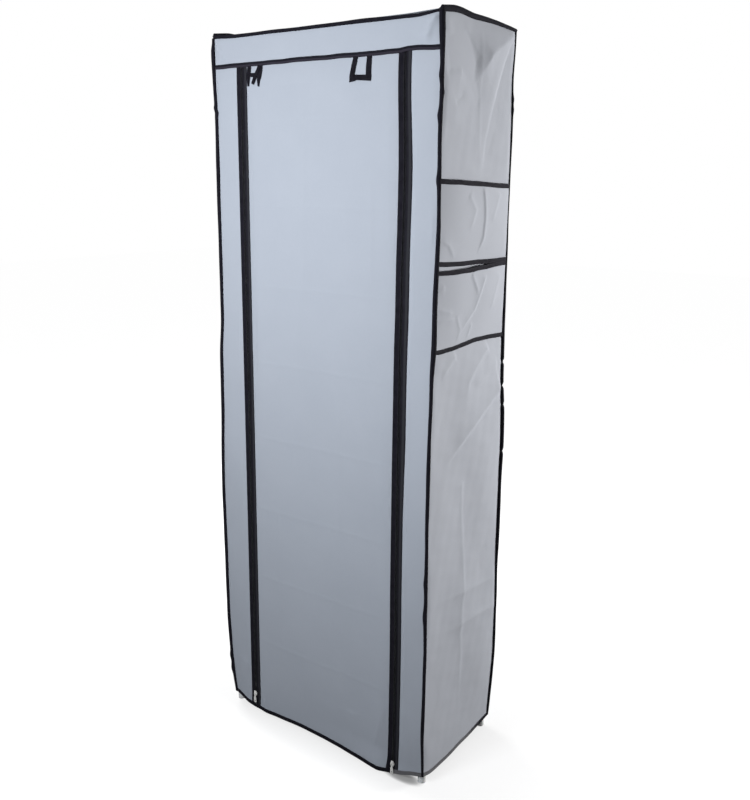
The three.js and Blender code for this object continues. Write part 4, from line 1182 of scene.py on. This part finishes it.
bracketKinds = {kind: bracketMesh(kind) for kind in ("foot", "middle", "cap")}
for sideName, mirror in (("left", -1), ("right", 1)):
    for level, z in enumerate(levels):
        kind = "foot" if level == 0 else "cap" if level == rack["levels"] - 1 else "middle"
        points, faces = bracketKinds[kind]
        bracket = meshObject(f"bracket{sideName.title()}{level + 1:02d}",
                             points * (mirror, 1, 1) + np.array((0, 0, z)),
                             [face[::mirror] for face in faces], bracketPlastic, None, 32)
        sewn(bracket, "rack_and_cover", "bracket_plastic", f"bracket_{sideName}_{level + 1:02d}")
print("rack made")

shelf = {"halfWidth": 252, "sleeve": 7.4, "seam": 17.0, "sag": 7.0, "cell": 9.0,
         "stitchX": 250, "stitchY": 118.5, "stitchLift": 1.05}


def shelfPath():
    # the cloth seen end on, from its flap under the front rail to the flap under the back rail
    rail, radius, webEnd = rack["postY"], shelf["sleeve"], rack["postY"] - 11
    turn = np.radians(np.linspace(-14, -346, 26))
    loop = np.stack([-rail + radius * np.cos(turn), radius * np.sin(turn)], 1)
    half = np.concatenate([[[-rail + shelf["seam"], -0.75], [-webEnd, -1.0]], loop])
    web = np.linspace(-webEnd, webEnd, 34)
    deck = np.stack([web, 0.75 - shelf["sag"] * (1 - (web / webEnd) ** 2)], 1)
    return alongLine(np.concatenate([half, deck, half[::-1] * (-1, 1)]), 2.4)


shelfLine = shelfPath()
for level, z in enumerate(levels):
    ripple = smoothNoise(70 + level, 110)

    def shelfPlace(u, v, z=z, ripple=ripple):
        x = between(-shelf["halfWidth"], shelf["halfWidth"], u)
        at = v * (len(shelfLine) - 1)
        y, lift = (np.interp(at, np.arange(len(shelfLine)), column) for column in shelfLine.T)
        middle = ease((118 - np.abs(y)) / 40)
        return x, y, z + lift + middle * (1.1 * ripple(x, y) + 1.2 * (x / shelf["halfWidth"]) ** 2)

    cloth = clothPiece(f"shelfCloth{level + 1:02d}", shelfPlace,
                       (2 * shelf["halfWidth"], shelf["cell"] * (len(shelfLine) - 1)), shelfClothPaint, shelf["cell"])
    sewn(cloth, "rack_and_cover", "shelf_cloth", f"shelf_{level + 1:02d}")
    x = np.linspace(-shelf["stitchX"], shelf["stitchX"], 60)
    lines = [np.stack([x, np.full_like(x, side * shelf["stitchY"]), np.full_like(x, z + shelf["stitchLift"])], 1)
             for side in (-1, 1)]
    seam = sewn(stitchedSeam(f"shelfSeam{level + 1:02d}", lines, up, greyThread, Spacing=0.0052, Reach=0.0040),
                "rack_and_cover", "shelf_cloth")
print("shelves made")

# hold-up loops: tape folded into a frame and turned on itself
loopTape = {"width": 10.6, "thickness": 0.8, "step": 1.6}


def tapeRun(places, turns, widths):
    # places are (x, z, how far in front of the cloth); turns are how far the tape is turned on edge, in degrees
    places = np.asarray(places, float)
    line, run = alongLine(places, loopTape["step"]), lengthAlong(places)
    even = np.linspace(0, run[-1], len(line))
    turn = np.radians(np.interp(even, run, turns))[:, None]
    wide = np.interp(even, run, widths) / loopTape["width"]
    path = np.stack([line[:, 0], -valance["clothOut"] - line[:, 2], line[:, 1]], 1)
    tangent = unit(np.gradient(path, axis=0))
    flatAcross = unit(np.cross(tangent, front))
    face = np.cross(flatAcross, tangent)
    across = flatAcross * np.cos(turn) + face * np.sin(turn)
    return sweptShape(path, across * wide[:, None], face * np.cos(turn) - flatAcross * np.sin(turn),
                      tapeProfile(loopTape["width"], loopTape["thickness"], 0.1, (-3.6, 3.6)))


loopLeft = sweptPiece("holdLoopLeft", loopTapePaint, [
    tapeRun([(-185.5, 1531, 1.2), (-186, 1519, 1.9), (-187, 1506, 2.1), (-187, 1492, 1.8)], [0, 12, 30, 62],
            [9.4, 8.6, 7.4, 5.4]),
    tapeRun([(-190, 1514.4, 2.7), (-178, 1513.8, 3.3), (-166, 1513, 3.6), (-158, 1512.6, 3.2)], [6, 0, -4, -8],
            [7.6, 8.2, 8.2, 8.2]),
    tapeRun([(-153.6, 1531, 1.2), (-154.6, 1520, 2.0), (-156, 1508, 2.6), (-157, 1490, 2.0)], [0, 8, 24, 64],
            [11.8, 11.2, 10, 7]),
    tapeRun([(-154.5, 1531, 2.6), (-159.5, 1522, 3.6), (-166, 1511, 4.4), (-174.2, 1495.6, 3.4)], [0, -6, 4, 20],
            [8.4, 7.8, 7.6, 7.0]),
])
loopRight = sweptPiece("holdLoopRight", loopTapePaint, [
    tapeRun([(128.4, 1531, 1.0), (127.6, 1512, 1.9), (127, 1487, 1.7)], [0, 6, 0], [10, 11.6, 13.4]),
    tapeRun([(133.6, 1490.6, 2.5), (110, 1492.4, 2.9), (82.5, 1494.2, 2.6)], [0, -5, 0], [11.4, 10.4, 10]),
    tapeRun([(96, 1531.5, 1.6), (92, 1514, 2.7), (88, 1496, 3.6), (89.6, 1486, 3.4)], [0, 8, 0, 4],
            [9, 9.6, 10.6, 14.6]),
])
loopStitches = [[(-159, 1529.4, 2.3), (-148.4, 1529.4, 2.0)], [(-189.6, 1529, 2.2), (-181.6, 1529, 2.2)],
                [(124, 1528.8, 1.9), (133, 1528.8, 1.9)], [(92, 1529.4, 2.5), (100, 1529.4, 2.3)],
                [(85, 1488.6, 4.1), (94, 1488.6, 4.1)], [(123.2, 1489.4, 3.2), (132.8, 1489.4, 3.2)]]
for piece, sideName, rows in ((loopLeft, "Left", loopStitches[:2]), (loopRight, "Right", loopStitches[2:])):
    lines = [alongLine([(x, -valance["clothOut"] - out, z) for x, z, out in row], 0.8) for row in rows]
    seam = stitchedSeam("loopSeam" + sideName, lines, front, Spacing=0.0022, Reach=0.0017)
    body = "loop_" + sideName.lower()
    sewn(piece, body, "black_binding", body)
    sewn(seam, body, "black_binding")

# sliders and pulls
slider = {"length": 12.6, "halfWidth": 4.5, "plate": 1.0, "backY": 1.15, "frontY": -2.95,
          "archWidth": 1.9, "archThick": 1.1, "archReach": 3.2, "archHalf": 3.3,
          "pullLength": 25, "pullWidth": 8.4, "pullNeck": 4.0, "pullThick": 1.0, "pivotY": -4.45, "hole": 1.6,
          "rests": {"left": 46, "right": 27}}


def outlineBlock(shell, outline, y0, y1):
    # a flat plate: its outline in (x, z), its faces at y0 and y1
    rings = [[shell.verts.new((x, y, z)) for x, z in outline] for y in (y0, y1)]
    shell.faces.new(rings[0])
    shell.faces.new(rings[1][::-1])
    for index in range(len(outline)):
        after = (index + 1) % len(outline)
        shell.faces.new((rings[0][after], rings[0][index], rings[1][index], rings[1][after]))


def arcPlaces(centreX, centreZ, radius, start, end, steps=8):
    return [(centreX + radius * math.cos(turn), centreZ + radius * math.sin(turn))
            for turn in np.radians(np.linspace(start, end, steps))]


def sliderMesh():
    half, top = slider["halfWidth"], slider["length"] / 2
    outline = (arcPlaces(-half + 2.6, -top + 2.6, 2.6, 180, 270, 6)
               + arcPlaces(half - 2.6, -top + 2.6, 2.6, 270, 360, 6)
               + [(half, -1.0), (half - 0.9, 2.0)] + arcPlaces(half - 2.3, top - 1.5, 1.5, 0, 90, 5)
               + arcPlaces(-half + 2.3, top - 1.5, 1.5, 90, 180, 5) + [(-half + 0.9, 2.0), (-half, -1.0)])
    body = bmesh.new()
    frontFace = slider["frontY"] - 0.55
    outlineBlock(body, outline, frontFace, frontFace + slider["plate"])
    outlineBlock(body, outline, slider["backY"] - 0.5, slider["backY"] + 0.5)
    for side in (-1, 1):
        inner, outer = sorted((side * 3.35, side * (half - 0.05)))
        rawBlock(body, (inner, frontFace + 0.5, -top + 2.4), (outer, -0.75, 1.6))
    rawBlock(body, (-0.28, frontFace + 0.5, -top + 1.2), (0.28, slider["backY"], -1.6))
    return carve("sliderBody", body, None, 0.26, 3)


def archShape():
    turn = np.radians(np.linspace(0, 180, 19))
    flat = np.sign(np.cos(turn)) * np.abs(np.cos(turn)) ** 0.55
    lift = np.sin(turn) ** 0.6
    reach = slider["archReach"] - slider["archThick"] / 2
    path = np.stack([np.zeros_like(turn), slider["frontY"] - 0.35 - reach * lift,
                     (slider["archHalf"] - slider["archThick"] / 2) * flat], 1)
    profile = tapeProfile(slider["archWidth"], slider["archThick"], steps=5)
    return sweptShape(path, right, np.cross(unit(np.gradient(path, axis=0)), right), profile)


def pullMesh():
    wide, neck, end = slider["pullWidth"] / 2, slider["pullNeck"] / 2, -slider["pullLength"]
    corner, pivot, through = 3.2, slider["pivotY"], slider["pivotY"] - 2
    outline = ([(-2.6, 0.2), (-3.0, -1.0), (-3.0, -4.6), (-neck, -6.4), (-neck, -7.6), (-wide + 0.7, -11.5)]
               + arcPlaces(-wide + corner, end + corner, corner, 180, 270)
               + arcPlaces(wide - corner, end + corner, corner, 270, 360)
               + [(wide - 0.7, -11.5), (neck, -7.6), (neck, -6.4), (3.0, -4.6), (3.0, -1.0), (2.6, 0.2), (1.8, 0.7),
                  (-1.8, 0.7)])
    eye = (arcPlaces(-0.9, -3.7, 0.8, 180, 270, 4) + arcPlaces(0.9, -3.7, 0.8, 270, 360, 4)
           + [(1.7, -0.7), (-1.7, -0.7)])
    dish = arcPlaces(0, -15.4, 2.0, 0, 180, 9) + arcPlaces(0, -16.6, 2.0, 180, 360, 9)
    body, tools = bmesh.new(), bmesh.new()
    outlineBlock(body, outline, pivot - slider["pullThick"] / 2, pivot + slider["pullThick"] / 2)
    outlineBlock(tools, eye, through, pivot + 2)
    outlineBlock(tools, arcPlaces(0, end + 4.4, slider["hole"], 0, 345, 24), through, pivot + 2)
    outlineBlock(tools, dish, through, pivot - 0.3)
    return carve("pullTab", body, tools, 0.2, 3)


def inFront(points, sideX, rest):
    # from the slider's own frame onto the leaning front
    points = points + np.array((sideX * zipCentre, 0, rest))
    points[:, 1] += -halfDepth - (cover["frontTop"] - points[:, 2]) * leanSlope
    points[:, 0] += sidewaysBow(sideX * zipCentre, -halfDepth, rest)
    return points


def sliderPiece(kind, sideName, sideX, points, faces):
    body = kind.lower() + "_" + sideName
    points = inFront(points, sideX, slider["rests"][sideName])
    piece = meshObject("zip" + kind + sideName.title(), points, faces, platedMetal, None, 38)
    sewn(piece, body, "slider_metal", body)


bodyShape, tabShape = sliderMesh(), pullMesh()
archPoints, archFaces, _ = archShape()
slidePoints = np.concatenate([bodyShape[0], archPoints])
slideFaces = bodyShape[1] + [[index + len(bodyShape[0]) for index in face] for face in archFaces]
for sideName, sideX in (("left", -1), ("right", 1)):
    sliderPiece("Slider", sideName, sideX, slidePoints, slideFaces)
    sliderPiece("Pull", sideName, sideX, *tabShape)
print("sliders made")

# the body the panels, strips and valance ride on, and the imported parts these sheets stand in for
for index, (cloth, flat) in enumerate(zip(doorCloths, ((0.399, 0.048), (0.399, 0.190), (0.399, 1.291)))):
    bent(cloth, index, "cover_cloth", *doorNodes[index])
for cloth, name in ((rightPanel, "right"), (leftPanel, "left"), (backPanel, "back"), (topPanel, "top")):
    sewn(cloth, "rack_and_cover", "cover_cloth", name + "_panel")
for cloth, name, trio, hem in zip(stripCloths, ("left", "right"), fixedTapes, stripHems):
    sewn(cloth, "rack_and_cover", "cover_cloth", "front_strip_" + name)
sewn(valanceCloth, "rack_and_cover", "cover_cloth", "valance")
sewn(valanceBinding, "rack_and_cover", "black_binding", "valance_binding")
sewn(valanceSeam, "rack_and_cover", "black_binding")
for index, cloth in enumerate(pocketCloths):
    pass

# floor, light and camera
studio = {
    # painted shadow: the floor's glow is dimmer near the cover (glowNear) than far off (glowFar)
    "glowNear": 0.70, "glowFar": 0.97, "glowFrom": 0.0, "glowTo": 0.30, "floorColour": 0.30, "ambient": 0.07,
    "footprint": (0.287, 0.146), "glowPace": (0.35, 2.0, 0.35),
    # painted contact shadow where the hem all but touches the floor: middle and reach of the darker patch painted
    # into the floor's glow
    "contactShadow": {"middle": (0.232, -0.145), "reach": (0.052, 0.019), "shade": 0.25, "limits": (0.2, 1.3)},
    "key": {"place": (-0.1, -1.46, 1.36), "aim": (-0.1, 0, 1.36), "size": 0.55, "power": 23.2,
            "colour": (0.95, 0.97, 1.0)},
    "side": {"place": (1.95, 1.95, 1.1), "aim": (0.2, 0.0, 1.02), "size": 0.9, "power": 30.5,
             "colour": (1.0, 0.99, 0.985), "spread": 104},
    "far": {"place": (-2.3, 1.0, 1.4), "aim": (-0.2, 0.0, 0.9), "size": 1.5, "power": 62,
            "colour": (1.0, 0.995, 0.99)},
    "overhead": {"place": (0, 0.3, 3.4), "aim": (0, 0, 0), "size": 3.0, "power": 28, "colour": (1, 1, 1)},
}


def cameraRayOnly(tree):
    return addNode(tree, "ShaderNodeLightPath").outputs["Is Camera Ray"]


def floorMaterial():
    shade, contactShadow, (halfX, halfY) = studio["floorColour"], studio["contactShadow"], studio["footprint"]
    material, tree, shader, vector = newMaterial(
        "studioFloor", 0.9, 0.0, "Object", Base_Color=(shade, shade, shade, 1), Specular_IOR_Level=0.1,
        Emission_Color=(1, 1, 1, 1))
    axes = axesOf(tree, vector)
    # how far a place lies past the footprint: to either side, to the front and to the back; the glow is painted
    # dimmer near the footprint, a painted shadow round the cover
    outward = (mathNode(tree, "ABSOLUTE", axes[0]), mathNode(tree, "MULTIPLY", axes[1], -1.0), axes[1])
    past = [mathNode(tree, "MAXIMUM", mathNode(tree, "SUBTRACT", place, half), 0.0)
            for place, half in zip(outward, (halfX, halfY, halfY))]
    paced = [mathNode(tree, "MULTIPLY", place, pace) for place, pace in zip(past, studio["glowPace"])]
    squares = [mathNode(tree, "POWER", place, 2.0) for place in (paced[0], mathNode(tree, "ADD", *paced[1:]))]
    spread = softStep(tree, mathNode(tree, "SQRT", mathNode(tree, "ADD", *squares)),
                      (studio["glowFrom"], studio["glowTo"]), (studio["glowNear"], studio["glowFar"]))
    # and how far from the middle of the painted contact shadow, a darker patch in the glow
    shares = [mathNode(tree, "DIVIDE", mathNode(tree, "SUBTRACT", axes[axis], contactShadow["middle"][axis]),
                       contactShadow["reach"][axis]) for axis in (0, 1)]
    squares = [mathNode(tree, "POWER", mathNode(tree, "ABSOLUTE", share), 2.0) for share in shares]
    shadowPatch = softStep(tree, mathNode(tree, "ADD", *squares), contactShadow["limits"], (contactShadow["shade"], 1.0))
    # the glow the camera sees, with both painted shadows in it
    glow = mathNode(tree, "MULTIPLY", cameraRayOnly(tree), mathNode(tree, "MULTIPLY", spread, shadowPatch))
    tree.links.new(glow, shader["Emission Strength"])
    return material


bpy.ops.mesh.primitive_plane_add(size=24, location=(0, 0, -0.0002))
floor = bpy.context.object
floor.name = "studioFloor"
floor.data.materials.append(floorMaterial())

world = bpy.data.worlds.new("studioWorld")
bpy.context.scene.world = world
world.use_nodes = True
sky = world.node_tree
ground = sky.nodes["Background"]
seen = cameraRayOnly(sky)
strength = mathNode(sky, "ADD", mathNode(sky, "MULTIPLY", seen, 1.0 - studio["ambient"]), studio["ambient"])
sky.links.new(strength, ground.inputs["Strength"])
ground.inputs["Color"].default_value = (1, 1, 1, 1)


def softLight(name, place, aim, size, power, colour, spread=180):
    lamp = bpy.data.lights.new(name, "AREA")
    lamp.shape, lamp.size, lamp.energy, lamp.color = "DISK", size, power, colour
    lamp.spread = math.radians(spread)
    holder = linked(name, lamp)
    holder.location = place
    holder.rotation_euler = (Vector(aim) - Vector(place)).to_track_quat("-Z", "Y").to_euler()
    holder.visible_camera = False


for lightName in ("key", "side", "far", "overhead"):
    softLight(lightName + "Light", **studio[lightName])

view = {"azimuth": 35.86, "elevation": 13.93, "distance": 2028, "aimHeight": 809, "aimShift": 36, "roll": 0.46,
        "focal": 877.9, "frameHeight": 800, "sensor": 36}
azimuth, elevation, roll = (math.radians(view[key]) for key in ("azimuth", "elevation", "roll"))
towards = Vector((math.sin(azimuth) * math.cos(elevation), -math.cos(azimuth) * math.cos(elevation),
                  math.sin(elevation)))
sideways = Vector((math.cos(azimuth), math.sin(azimuth), 0))
upwards = towards.cross(sideways)
turnedSide = sideways * math.cos(roll) + upwards * math.sin(roll)
turnedUp = upwards * math.cos(roll) - sideways * math.sin(roll)
eye = Vector((0, 0, view["aimHeight"])) + sideways * view["aimShift"] + towards * view["distance"]
lens = bpy.data.cameras.new("photoCamera")
lens.sensor_width, lens.lens = view["sensor"], view["focal"] * view["sensor"] / view["frameHeight"]
lens.sensor_fit = "AUTO"
camera = linked("photoCamera", lens)
camera.matrix_world = Matrix([(turnedSide[axis], turnedUp[axis], towards[axis], eye[axis] / 1000)
                              for axis in range(3)] + [(0, 0, 0, 1)])
bpy.context.scene.camera = camera
bpy.context.scene.view_settings.view_transform = "Standard"
print("studio ready")
